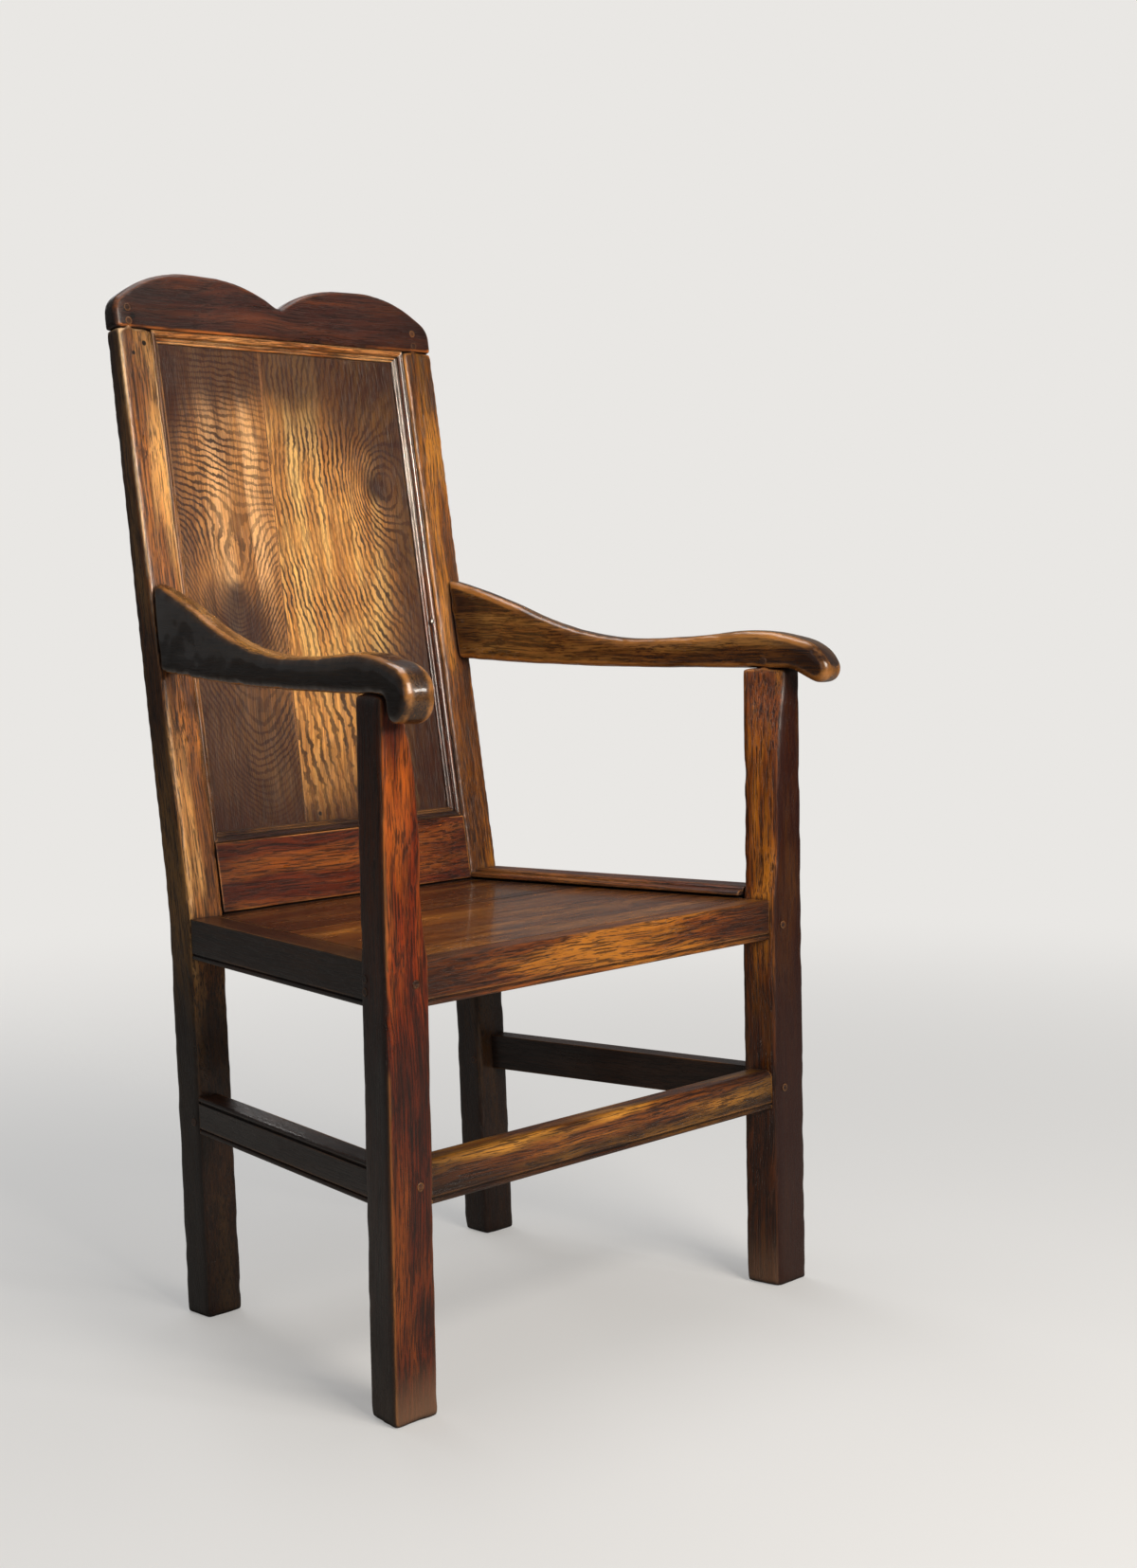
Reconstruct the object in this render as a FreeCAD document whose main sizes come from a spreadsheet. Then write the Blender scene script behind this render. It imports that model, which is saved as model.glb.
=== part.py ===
import FreeCAD, Part
import math
import os
import Sketcher
from FreeCAD import Placement, Rotation, Vector

# Joined oak armchair with a panelled back, in millimetres.
# The chair faces -Y, its left is -X and it stands on Z = 0, under the middle of its bounding box.
# Every piece is drawn with Y = 0 at the front of the front posts, and its placement moves it to the
# chair's own frame. The pieces of the back are drawn square, in a frame that leans with the back.

SIZES = {
    # Whole chair
    "front_width": 618, "seat_height": 430, "seat_depth": 402, "splay": 10, "back_lean": 9,
    "leg_lean": 2, "back_length": 645, "left_arm_height": 679.5, "right_arm_height": 683.5,
    # Rear stiles: leg and back post in one piece
    "stile_width": 46, "stile_depth": 40, "stile_top_depth": 24, "stile_proud": 1, "arris": 2.5,
    # Front posts
    "left_post_width": 55, "right_post_width": 51, "left_post_depth": 46, "right_post_depth": 42,
    # Seat rails
    "rail_height": 43.5, "front_rail_inset": 6, "front_rail_clearance": 0.4, "side_rail_inset": 8.5,
    "side_rail_thickness": 44, "rebate_width": 11, "rear_rail_thickness": 25, "rear_rail_set_back": 3,
    # Stretchers
    "stretcher_foot_gap": 199, "front_stretcher_height": 42, "side_stretcher_height": 40,
    "stretcher_thickness": 25, "front_stretcher_inset": 5.5, "worn_arris": 7,
    # Beads run along rails and stretchers
    "bead_radius": 2.5, "quirk_width": 2,
    # Tenons and their mortises
    "tenon_thickness": 9, "tenon_shoulder": 5, "tenon_set_in": 4, "front_tenon_set_back": 10,
    "front_tenon_cover": 28.5, "side_tenon_length": 24, "rear_tenon_length": 26,
    "back_tenon_length": 26, "back_tenon_set_back": 8, "cross_tenon_length": 20,
    "mortise_end_gap": 1, "joint_fit": 0.1,
    # Pegs
    "peg_radius": 4.2, "peg_fit": 0.15, "peg_proud": 0.8, "peg_cover": 5, "front_peg_across": 37,
    "left_rail_peg_drop": 19, "right_rail_peg_drop": 28, "stretcher_peg_rise": 22, "side_peg_back": 36,
    "side_peg_drop": 14, "side_peg_pitch": 12, "leg_peg_back": 10, "leg_peg_rise": 12,
    "arm_peg_back": 27, "arm_peg_rise": 8, "left_crest_peg_in": 15, "right_crest_peg_in": 29,
    "crest_peg_low": 7, "crest_peg_pitch": 15, "crest_peg_cover": 2.5,
    # Seat boards, and the moulded strip on the right-hand rail
    "board_thickness": 14, "board_gap": 1.5, "front_board_edge": 250, "board_tongue": 12,
    "strip_height": 11.5, "strip_flat": 33, "strip_lip": 12, "strip_clearance": 3,
    # Back
    "lower_rail_height": 74.5, "lower_rail_gap": 2.5, "lower_rail_depth": 24,
    "panel_set_back": 13, "panel_thickness": 7, "groove_depth": 8, "panel_slack": 1,
    "panel_joint_top": 30, "panel_joint_bottom": 47, "panel_joint_gap": 0.6,
    "moulding_width": 12.5, "moulding_set_back": 1.5,
    # Crest rail
    "crest_overhang": 1.5, "crest_height": 68.3, "crest_depth": 25, "crest_arris": 4,
    "crest_tenon_height": 28, "crest_tenon_shoulder": 9,
    # Arms
    "left_arm_reach": 42.5, "right_arm_reach": 53, "arm_front_width": 36, "arm_rear_width": 22.5,
    "arm_rear_rise": 109.5, "arm_arris": 4, "arm_shortest_arris": 8, "arm_front_round": 11,
    "arm_tenon_rise": 20, "arm_tenon_height": 60, "arm_tenon_length": 20, "arm_tenon_root": 15,
    "post_tenon_height": 24, "post_tenon_width": 12,
    "post_tenon_depth": 26, "post_tenon_set_in": 9,
    # How far cutting shapes run past what they cut, and how near edges lie to the place they are picked by
    "overrun": 30, "cutter_span": 60, "edge_margin": 1,
}

doc = FreeCAD.newDocument("JoinedArmchair")
sheet = doc.addObject("Spreadsheet::Sheet", "Sizes")
for row, (alias, number) in enumerate(SIZES.items(), start=1):
    sheet.set(f"A{row}", alias)
    sheet.set(f"B{row}", str(number))
    sheet.setAlias(f"B{row}", alias)
doc.recompute()


class Size:
    """A length, angle or ratio, with the expression that ties it to the sheet."""

    def __init__(self, value, text):
        self.value = float(value)
        self.text = text

    def __add__(self, other):
        return Size(self.value + as_size(other).value, f"({self.text} + {as_size(other).text})")

    def __sub__(self, other):
        return Size(self.value - as_size(other).value, f"({self.text} - {as_size(other).text})")

    def __mul__(self, other):
        return Size(self.value * as_size(other).value, f"({self.text} * {as_size(other).text})")

    def __truediv__(self, other):
        return Size(self.value / as_size(other).value, f"({self.text} / {as_size(other).text})")

    def __neg__(self):
        return self * -1


def as_size(number):
    return number if isinstance(number, Size) else Size(number, repr(number))


def size(alias):
    return Size(sheet.get(alias), f"Sizes.{alias}")


def sin(angle):
    return Size(math.sin(math.radians(angle.value)), f"sin({angle.text})")


def cos(angle):
    return Size(math.cos(math.radians(angle.value)), f"cos({angle.text})")


def tan(angle):
    return Size(math.tan(math.radians(angle.value)), f"tan({angle.text})")


def root(square):
    return Size(math.sqrt(square.value), f"sqrt({square.text})")


def least(first, second):
    return Size(min(first.value, second.value), f"min({first.text}; {second.text})")


SIDES = {"left": -1, "right": 1}
UP = (0, 0, 1)
BACKWARDS = (0, 1, 0)
RIGHTWARDS = (1, 0, 0)

# Places that several pieces share

half_width = size("front_width") / 2
seat_height = size("seat_height")
seat_depth = size("seat_depth")
splay = size("splay")
back_lean = size("back_lean")
back_length = size("back_length")
overrun = size("overrun")
cutter_span = size("cutter_span")
edge_margin = size("edge_margin")
nothing = seat_height * 0
rail_bottom = seat_height - size("rail_height")
board_bottom = seat_height - size("board_thickness")
stretcher_bottom = size("stretcher_foot_gap")
side_outer = half_width - size("side_rail_inset")
stile_outer = side_outer - seat_depth * tan(splay) + size("stile_proud")
stile_inner = stile_outer - size("stile_width")
lower_rail_top = size("lower_rail_gap") + size("lower_rail_height")
front_tenon_front = size("front_rail_inset") + size("front_tenon_set_back")
shallow_post = least(size("left_post_depth"), size("right_post_depth")) * cos(splay)
front_rail_thickness = shallow_post - size("front_rail_inset") - size("front_rail_clearance")


def arm_height(side):
    """Height of a front post's head, where the arm lies on it."""
    return size(f"{side}_arm_height")


def arm_run(side):
    """How far an arm reaches back, along its outer face, from the front of the post to the stile."""
    return (seat_depth + (arm_height(side) - seat_height) * tan(back_lean)) / cos(splay)


def arm_width(side, along):
    """An arm's width at a distance along its run. It narrows to the back."""
    narrowing = (size("arm_front_width") - size("arm_rear_width")) / arm_run(side)
    return size("arm_front_width") - narrowing * along


# Front to back the chair runs from the rounded front of the right arm to the back of the crest's top arris.
# From side to side it runs between the outer front corners of the arms.
crest_arris_height = back_length + size("crest_height") - size("crest_arris")
rearmost = seat_depth + crest_arris_height * sin(back_lean) + size("crest_depth") * cos(back_lean)
arm_corner_depth = arm_width("right", -size("right_arm_reach") - overrun) - size("arm_front_round")
arm_corner_reach = size("right_arm_reach") - size("arm_front_round")
frontmost = arm_corner_depth * sin(splay) + arm_corner_reach * cos(splay) + size("arm_front_round")
middle = (rearmost - frontmost) / 2
sideways = (size("right_arm_reach") - size("left_arm_reach")) / 2 * sin(splay)


def post_depth(side):
    """How far a front post reaches back, square to its front face."""
    return size(f"{side}_post_depth") * cos(splay)


def post_inner(side, y):
    """Distance from the middle of the chair to a front post's inner face, below the seat."""
    return half_width - size(f"{side}_post_width") - y * tan(splay)


def rebate_wall(y):
    """Distance from the middle of the chair to the wall that the seat boards lie against."""
    flat = size("side_rail_thickness") - size("rebate_width")
    return side_outer - flat / cos(splay) - y * tan(splay)


# Frames

def set_frame(piece, origin, axis=UP, turn=nothing):
    """Place a piece so that its origin and its turn follow the sizes."""
    spot = Vector(*(as_size(place).value for place in origin))
    piece.Placement = Placement(spot, Rotation(Vector(*axis), as_size(turn).value))
    for letter, place in zip("xyz", origin):
        piece.setExpression(f".Placement.Base.{letter}", as_size(place).text)
    if turn is not nothing:
        piece.setExpression(".Placement.Rotation.Angle", as_size(turn).text)


def in_chair(piece):
    set_frame(piece, (-sideways, -middle, nothing))


def in_back(piece):
    set_frame(piece, (-sideways, seat_depth - middle, seat_height), (-1, 0, 0), back_lean)


def in_run(piece, side):
    """Turn a shape with the splay, so that its Y runs along a front post's outer face."""
    sign = SIDES[side]
    set_frame(piece, (half_width * sign, nothing, nothing), UP, splay * sign)
    return piece


def lean(name, pieces, turn=back_lean):
    """Group shapes that are drawn square to the back, or to the rear legs, and lean them together."""
    group = doc.addObject("Part::Compound", name) if len(pieces) == 1 else join(name, pieces)
    if len(pieces) == 1:
        group.Links = pieces
    set_frame(group, (nothing, seat_depth, seat_height), (-1, 0, 0), turn)
    return group


# Basic shapes

def bind(piece, **sizes):
    for name, length in sizes.items():
        setattr(piece, name, length.value)
        piece.setExpression(name, length.text)


def box(name, corner, lengths, turn=nothing):
    """A box from its corner with the least X, Y and Z, turned about the upright edge there."""
    block = doc.addObject("Part::Box", name)
    bind(block, Length=lengths[0], Width=lengths[1], Height=lengths[2])
    set_frame(block, corner, UP, turn)
    return block


def span(name, side, x_ends, y_ends, z_ends):
    """A box between two places along each axis, where X counts outwards on a side of the chair."""
    low_x = x_ends[0] if side == "right" else -x_ends[1]
    lengths = tuple(ends[1] - ends[0] for ends in (x_ends, y_ends, z_ends))
    return box(name, (low_x, y_ends[0], z_ends[0]), lengths)


def rod(name, start, direction, length, radius):
    """A round bar from a point along a direction."""
    bar = doc.addObject("Part::Cylinder", name)
    bind(bar, Radius=radius, Height=length)
    turn = Rotation(Vector(*UP), Vector(*direction))
    set_frame(bar, start, tuple(turn.Axis), math.degrees(turn.Angle))
    return bar


def join(name, pieces):
    if len(pieces) == 1:
        return pieces[0]
    group = doc.addObject("Part::MultiFuse", name)
    group.Shapes = pieces
    return group


def cut(name, piece, tools):
    result = doc.addObject("Part::Cut", name)
    result.Base = piece
    result.Tool = join(f"{name}_tools", tools)
    return result


PLANES = {"front": ("XZ_Plane", -1), "side": ("YZ_Plane", 1), "plan": ("XY_Plane", 1)}


def arc_between(start, end, radius):
    """The short arc that runs anticlockwise from one point to another."""
    chord = end - start
    left = Vector(-chord.y, chord.x, 0).normalize()
    reach = math.sqrt(radius * radius - chord.Length * chord.Length / 4)
    centre = (start + end) / 2 + left * reach
    return Part.Arc(start, centre - left * radius, end)


def draw(body, name, plane, outline, at=nothing):
    """A closed sketch on a plane of the body's origin, moved to a place along the third axis.

    The outline lists corners anticlockwise. A third entry in a corner is the radius of an arc from there to
    the next corner, positive where the arc bulges outwards. A fourth entry makes the arc run on smoothly from
    the one before, and its radius then follows from that. The plan and the front are seen from above and
    from the front, the side is seen from the right.
    """
    role, sign = PLANES[plane]
    sketch = body.newObject("Sketcher::SketchObject", name)
    sketch.AttachmentSupport = (next(p for p in body.Origin.OriginFeatures if p.Role == role), "")
    sketch.MapMode = "FlatFace"
    sketch.AttachmentOffset = Placement(Vector(0, 0, sign * at.value), Rotation())
    sketch.setExpression(".AttachmentOffset.Base.z", (at * sign).text)
    points = [Vector(as_size(c[0]).value, as_size(c[1]).value, 0) for c in outline]
    count = len(outline)
    ends = []
    for number, corner in enumerate(outline):
        start, end = points[number], points[(number + 1) % count]
        ends.append((1, 2))
        if len(corner) == 2:
            sketch.addGeometry(Part.LineSegment(start, end))
        elif corner[2].value > 0:
            sketch.addGeometry(arc_between(start, end, corner[2].value))
        else:
            sketch.addGeometry(arc_between(end, start, -corner[2].value))
            ends[number] = (2, 1)
    for number, corner in enumerate(outline):
        following = (number + 1) % count
        joint = "Tangent" if len(outline[following]) == 4 else "Coincident"
        link = (number, ends[number][1], following, ends[following][0])
        sketch.addConstraint(Sketcher.Constraint(joint, *link))
        for kind, place in zip(("DistanceX", "DistanceY"), corner[:2]):
            hold(sketch, Sketcher.Constraint(kind, number, ends[number][0], as_size(place).value), place)
        if len(corner) == 3:
            radius = corner[2] if corner[2].value > 0 else -corner[2]
            hold(sketch, Sketcher.Constraint("Radius", number, radius.value), radius)
    return sketch


def hold(sketch, constraint, length):
    index = sketch.addConstraint(constraint)
    sketch.setExpression(f"Constraints[{index}]", as_size(length).text)


def pad(body, name, sketch, length, direction):
    """Pad a sketch along a direction, with the length counted that way."""
    feature = body.newObject("PartDesign::Pad", name)
    feature.Profile = sketch
    feature.UseCustomVector = True
    feature.Direction = Vector(*direction)
    feature.AlongSketchNormal = False
    bind(feature, Length=length)
    doc.recompute()


def pocket(body, name, sketch, depth):
    """Cut a sketch upwards out of a body."""
    feature = body.newObject("PartDesign::Pocket", name)
    feature.Profile = sketch
    feature.Reversed = True
    bind(feature, Length=depth)
    doc.recompute()


def solid(name, plane, outline, at, length, direction):
    """A body that is one padded outline."""
    body = doc.addObject("PartDesign::Body", name)
    pad(body, f"{name}_pad", draw(body, f"{name}_outline", plane, outline, at), length, direction)
    return body


def soften(body, name, radius, chosen):
    """Round the edges of a body that a test picks."""
    bind(treat(body, name, "PartDesign::Fillet", chosen), Radius=radius)
    doc.recompute()


def ease(body, name, leg, chosen):
    """Take the corner off the edges of a body that a test picks."""
    bind(treat(body, name, "PartDesign::Chamfer", chosen), Size=leg)
    doc.recompute()


def treat(body, name, kind, chosen):
    base = body.Tip
    feature = body.newObject(kind, name)
    feature.Base = (base, [f"Edge{n}" for n, edge in enumerate(base.Shape.Edges, start=1) if chosen(edge)])
    return feature


ALIGNED = 0.97  # cosine of the angle within which an edge counts as running along a direction


def goes(edge, direction):
    """Whether an edge runs roughly along a direction."""
    ends = [vertex.Point for vertex in edge.Vertexes]
    run = ends[-1] - ends[0]
    return run.Length > 0 and abs(run.normalize() * Vector(*direction).normalize()) > ALIGNED


# Pegs: cleft oak pins driven through the tenons, with their heads left a little proud

def inwards(side):
    """The direction from a side of the chair inwards, square to the splay."""
    return (-SIDES[side] * cos(splay).value, -sin(splay).value, 0)


def outwards(side):
    return tuple(-part for part in inwards(side))


def from_outer_face(side, y, depth, z):
    """A point at a depth behind the outer face of a front post or arm, level with a place on the face."""
    x = half_width - y * tan(splay) - depth * cos(splay)
    return (x * SIDES[side], y - depth * sin(splay), z)


def peg_list():
    """Each peg's joint, side, starting point, direction and length."""
    proud = size("peg_proud")
    cover = size("peg_cover")
    pegs = []
    for side, sign in SIDES.items():
        across = (half_width - size("front_peg_across")) * sign
        front_length = front_tenon_front + size("tenon_thickness") + cover + proud
        rail_peg = seat_height - size(f"{side}_rail_peg_drop")
        stretcher_peg = stretcher_bottom + size("stretcher_peg_rise")
        pegs.append(("front_rail", side, (across, -proud, rail_peg), BACKWARDS, front_length))
        pegs.append(("front_stretcher", side, (across, -proud, stretcher_peg), BACKWARDS, front_length))
        side_length = (size("side_rail_inset") + size("tenon_set_in")) * cos(splay) \
            + size("tenon_thickness") + cover + proud
        for number in range(2):
            z = seat_height - size("side_peg_drop") - size("side_peg_pitch") * number
            start = from_outer_face(side, size("side_peg_back"), -proud, z)
            pegs.append(("side_rail", side, start, inwards(side), side_length))
        leg_z = stretcher_bottom + size("leg_peg_rise")
        leg_y = seat_depth - (seat_height - leg_z) * tan(size("leg_lean")) + size("leg_peg_back")
        pegs.append(("rear_leg", side, ((stile_outer + proud) * sign, leg_y, leg_z), (-sign, 0, 0),
                     size("stile_width") + proud * 2))
        depth = arm_width(side, size("arm_peg_back")) + proud
        start = from_outer_face(side, size("arm_peg_back"), depth, arm_height(side) + size("arm_peg_rise"))
        pegs.append(("arm", side, start, outwards(side), depth - size("post_tenon_set_in") + cover))
        crest_length = size("back_tenon_set_back") + size("tenon_thickness") + size("crest_peg_cover") + proud
        for number in range(2):
            x = (stile_outer - size(f"{side}_crest_peg_in")) * sign
            z = back_length + size("crest_peg_low") + size("crest_peg_pitch") * number
            pegs.append(("crest", side, (x, -proud, z), BACKWARDS, crest_length))
    return pegs


def peg_rods(owner, joints, sides, fit=nothing):
    """The pegs of some joints as round bars, or as their holes where a fit is given."""
    radius = size("peg_radius") + fit
    chosen = [peg for peg in peg_list() if peg[0] in joints and peg[1] in sides]
    return [rod(f"{owner}_{joint}_peg{number}", start, direction, length, radius)
            for number, (joint, side, start, direction, length) in enumerate(chosen)]


def peg_holes(owner, joints, *sides):
    return peg_rods(owner, joints, sides, size("peg_fit"))


# Tenons. A mortise is the same shape with its fit and the gap at its end added.

def front_tenon(name, side, bottom, height, mortise):
    """A tenon that enters a front post from its inner face."""
    fit = size("joint_fit") if mortise else nothing
    end = size("mortise_end_gap") if mortise else nothing
    ends = (post_inner(side, front_tenon_front) - overrun, half_width - size("front_tenon_cover") + end)
    cheeks = (front_tenon_front - fit, front_tenon_front + size("tenon_thickness") + fit)
    shoulder = size("tenon_shoulder") - fit
    return span(name, side, ends, cheeks, (bottom + shoulder, bottom + height - shoulder))


def splayed_tenon(name, side, start, end, bottom, height, fit):
    """A tenon along the splay between two places from front to back."""
    sign = SIDES[side]
    shoulder = size("tenon_shoulder") - fit
    width = size("tenon_thickness") + fit * 2
    outer = side_outer - size("tenon_set_in") + fit - start * tan(splay)
    corner_x = -outer if side == "left" else outer - width / cos(splay)
    return box(name, (corner_x, start, bottom + shoulder),
               (width, (end - start) / cos(splay), height - shoulder * 2), splay * sign)


def side_tenon(name, side, bottom, height, mortise):
    """A tenon that enters a front post from behind."""
    fit = size("joint_fit") if mortise else nothing
    end = size("mortise_end_gap") if mortise else nothing
    start = post_depth(side) - size("side_tenon_length") - end
    return splayed_tenon(name, side, start, post_depth(side) + overrun, bottom, height, fit)


def rear_tenon(name, side, bottom, height, mortise):
    """A tenon that enters a rear leg from the front."""
    fit = size("joint_fit") if mortise else nothing
    end = size("mortise_end_gap") if mortise else nothing
    leg_front = seat_depth - (seat_height - bottom) * tan(size("leg_lean"))
    stop = leg_front + size("rear_tenon_length") + end
    return splayed_tenon(name, side, leg_front - overrun, stop, bottom, height, fit)


def cross_tenon(name, side, mortise):
    """A tenon of the rear seat rail."""
    fit = size("joint_fit") if mortise else nothing
    end = size("mortise_end_gap") if mortise else nothing
    shoulder = size("tenon_shoulder") - fit
    cheek = (size("rear_rail_thickness") - size("tenon_thickness")) / 2
    front = seat_depth + size("rear_rail_set_back") + cheek
    return span(name, side, (stile_inner - overrun, stile_inner + size("cross_tenon_length") + end),
                (front - fit, front + size("tenon_thickness") + fit),
                (board_bottom - size("rail_height") + shoulder, board_bottom - shoulder))


def lower_rail_tenon(name, side, mortise):
    """A tenon of the lower back rail, below the groove for the panel. It is drawn in the back's frame."""
    fit = size("joint_fit") if mortise else nothing
    end = size("mortise_end_gap") if mortise else nothing
    shoulder = size("tenon_shoulder") - fit
    front = size("back_tenon_set_back")
    return span(name, side, (stile_inner - overrun, stile_inner + size("back_tenon_length") + end),
                (front - fit, front + size("tenon_thickness") + fit),
                (size("lower_rail_gap") + shoulder, lower_rail_top - size("groove_depth") - shoulder))


def crest_tenon(name, side, mortise):
    """The tenon on a stile's head. It is drawn in the back's frame."""
    fit = size("joint_fit") if mortise else nothing
    end = size("mortise_end_gap") if mortise else nothing
    shoulder = size("crest_tenon_shoulder") - fit
    front = size("back_tenon_set_back")
    return span(name, side, (stile_inner + shoulder, stile_outer - shoulder),
                (front - fit, front + size("tenon_thickness") + fit),
                (back_length - overrun, back_length + size("crest_tenon_height") + end))


def arm_tenon(name, side, mortise):
    """The tenon at the back of an arm. It is drawn in the back's frame."""
    fit = size("joint_fit") if mortise else nothing
    end = size("mortise_end_gap") if mortise else nothing
    centre = stile_outer - size("arm_rear_width") / 2
    half = size("tenon_thickness") / 2 + fit
    bottom = (arm_height(side) - seat_height) / cos(back_lean) + size("arm_tenon_rise")
    return span(name, side, (centre - half, centre + half),
                (-size("arm_tenon_root"), size("arm_tenon_length") + end),
                (bottom - fit, bottom + size("arm_tenon_height") + fit))


def post_tenon(name, side, mortise):
    """The tenon on a front post's head, turned with the splay."""
    fit = size("joint_fit") if mortise else nothing
    end = size("mortise_end_gap") if mortise else nothing
    sign = SIDES[side]
    width = size("post_tenon_width") + fit * 2
    near = size("post_tenon_set_in") - fit
    outer = half_width - near
    corner_x = -outer if side == "left" else outer - width / cos(splay)
    return box(name, (corner_x, near, arm_height(side) - overrun),
               (width, size("post_tenon_depth") + fit * 2, size("post_tenon_height") + overrun + end),
               splay * sign)


def panel_groove(name, x_ends, z_ends):
    """A groove that holds the panel's edge. It is drawn in the back's frame."""
    front = size("panel_set_back")
    return span(name, "right", x_ends, (front, front + size("panel_thickness") + size("joint_fit")), z_ends)


# Front posts: each is one squared piece from the floor to the arm. Above the seat the inner side is
# hollowed, so that the front face narrows to half its width under the arm while the back stays broad.

POST_SHARES = (  # height between seat and arm, width of the front face, width of the back face
    (0.0, 1.0, 1.0), (0.03, 0.985, 0.95), (0.09, 0.94, 0.91), (0.24, 0.865, 0.91), (0.48, 0.855, 0.91),
    (0.66, 0.79, 0.91), (0.8, 0.68, 0.91), (0.92, 0.54, 0.91), (1.0, 0.51, 0.91),
)


def post_section(side, front_share, back_share):
    """A front post in plan, with its arrises taken off. Its side faces follow the splay."""
    sign = SIDES[side]
    depth = post_depth(side)
    lean_in = depth * tan(splay)
    width = size(f"{side}_post_width")
    arris = size("arris")
    step_in = arris * tan(splay)
    outer_back = half_width - lean_in
    front_in = half_width - width * front_share
    back_in = outer_back - width * back_share
    twist = (front_in - back_in) / depth * arris
    corners = [(half_width - arris, nothing), (front_in + arris, nothing), (front_in - twist, arris),
               (back_in + twist, depth - arris), (back_in + arris, depth), (outer_back - arris, depth),
               (outer_back + step_in, depth - arris), (half_width - step_in, arris)]
    return [(x * sign, y) for x, y in corners]


def front_post(side):
    name = f"front_post_{side}"
    body = solid(f"{name}_blank", "plan", post_section(side, 1, 1), nothing, seat_height, UP)
    rise = arm_height(side) - seat_height
    sections = [draw(body, f"{name}_level{number}", "plan", post_section(side, front, back),
                     seat_height + rise * share)
                for number, (share, front, back) in enumerate(POST_SHARES)]
    shaft = body.newObject("PartDesign::AdditiveLoft", f"{name}_shaft")
    shaft.Profile = sections[0]
    shaft.Sections = sections[1:]
    rails = (("rail", rail_bottom, size("rail_height"), size("rail_height")),
             ("stretcher", stretcher_bottom, size("front_stretcher_height"), size("side_stretcher_height")))
    mortises = []
    for kind, bottom, front_height, side_height in rails:
        mortises.append(front_tenon(f"{name}_front_{kind}_mortise", side, bottom, front_height, True))
        mortises.append(side_tenon(f"{name}_side_{kind}_mortise", side, bottom, side_height, True))
    whole = join(f"{name}_whole", [body, post_tenon(f"{name}_tenon", side, False)])
    holes = peg_holes(name, ("front_rail", "front_stretcher", "side_rail", "arm"), side)
    return cut(name, whole, mortises + holes)


# Rear stiles: leg and back post in one piece of oak, sawn with a bend at the seat

def rear_stile(side):
    name = f"rear_stile_{side}"
    foot = seat_depth - seat_height * tan(size("leg_lean"))
    head_y = seat_depth + back_length * sin(back_lean)
    head_z = seat_height + back_length * cos(back_lean)
    depth = size("stile_top_depth")
    outline = [(foot, nothing), (foot + size("stile_depth"), nothing),
               (seat_depth + size("stile_depth"), seat_height),
               (head_y + depth * cos(back_lean), head_z - depth * sin(back_lean)),
               (head_y, head_z), (seat_depth, seat_height)]
    low_x = -stile_outer if side == "left" else stile_inner
    body = solid(f"{name}_blank", "side", outline, low_x, size("stile_width"), RIGHTWARDS)
    soften(body, f"{name}_arrises", size("arris"), lambda edge: edge.Length > cutter_span.value)
    tenon = lean(f"{name}_head", [crest_tenon(f"{name}_tenon", side, False)])
    whole = join(f"{name}_whole", [body, tenon])
    groove_ends = (stile_inner - overrun, stile_inner + size("groove_depth"))
    if side == "left":
        groove_ends = (-groove_ends[1], -groove_ends[0])
    back_tools = [panel_groove(f"{name}_groove", groove_ends,
                               (lower_rail_top - size("groove_depth"), back_length)),
                  lower_rail_tenon(f"{name}_lower_rail_mortise", side, True),
                  arm_tenon(f"{name}_arm_mortise", side, True)]
    back_tools += peg_holes(name, ("crest",), side)
    tools = [lean(f"{name}_back_tools", back_tools),
             rear_tenon(f"{name}_rail_mortise", side, rail_bottom, size("rail_height"), True),
             rear_tenon(f"{name}_stretcher_mortise", side, stretcher_bottom,
                        size("side_stretcher_height"), True),
             cross_tenon(f"{name}_cross_mortise", side, True)]
    return cut(name, whole, tools + peg_holes(name, ("rear_leg",), side))


# Rails and stretchers: a bead and its quirk run along the outer face

def rail_section(face, inward, bottom, height, thickness, rebate=None, top_bead=False):
    """A rail's section from its outer face inwards, with inward 1 or -1 along the first axis."""
    radius = size("bead_radius")
    bend = radius * inward
    bead_top = radius * 2
    top = bottom + height
    quirk = size("quirk_width")

    def at(depth):
        return face + depth * inward

    corners = [(at(radius), bottom), (at(thickness), bottom)]
    if rebate is None:
        corners.append((at(thickness), top))
    else:
        corners += [(at(thickness), board_bottom), (at(thickness - rebate), board_bottom),
                    (at(thickness - rebate), top)]
    if top_bead:
        corners += [(at(radius), top, bend), (at(nothing), top - radius, bend),
                    (at(radius), top - bead_top), (at(radius), top - bead_top - quirk),
                    (at(nothing), top - bead_top - quirk)]
    else:
        corners.append((at(nothing), top))
    corners += [(at(nothing), bottom + bead_top + quirk), (at(radius), bottom + bead_top + quirk),
                (at(radius), bottom + bead_top, bend), (at(nothing), bottom + radius, bend)]
    return corners


def beyond_post(name, side):
    """What lies outwards of a front post's inner face, to cut shoulders that follow the splay."""
    sign = SIDES[side]
    face = half_width - size(f"{side}_post_width")
    reach = cutter_span
    if side == "left":
        corner = (-face - reach * (cos(splay) + sin(splay)), reach * (sin(splay) - cos(splay)))
    else:
        corner = (face + reach * sin(splay), -reach * cos(splay))
    return box(name, (corner[0], corner[1], nothing),
               (reach, seat_depth, seat_height + overrun), splay * sign)


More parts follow.
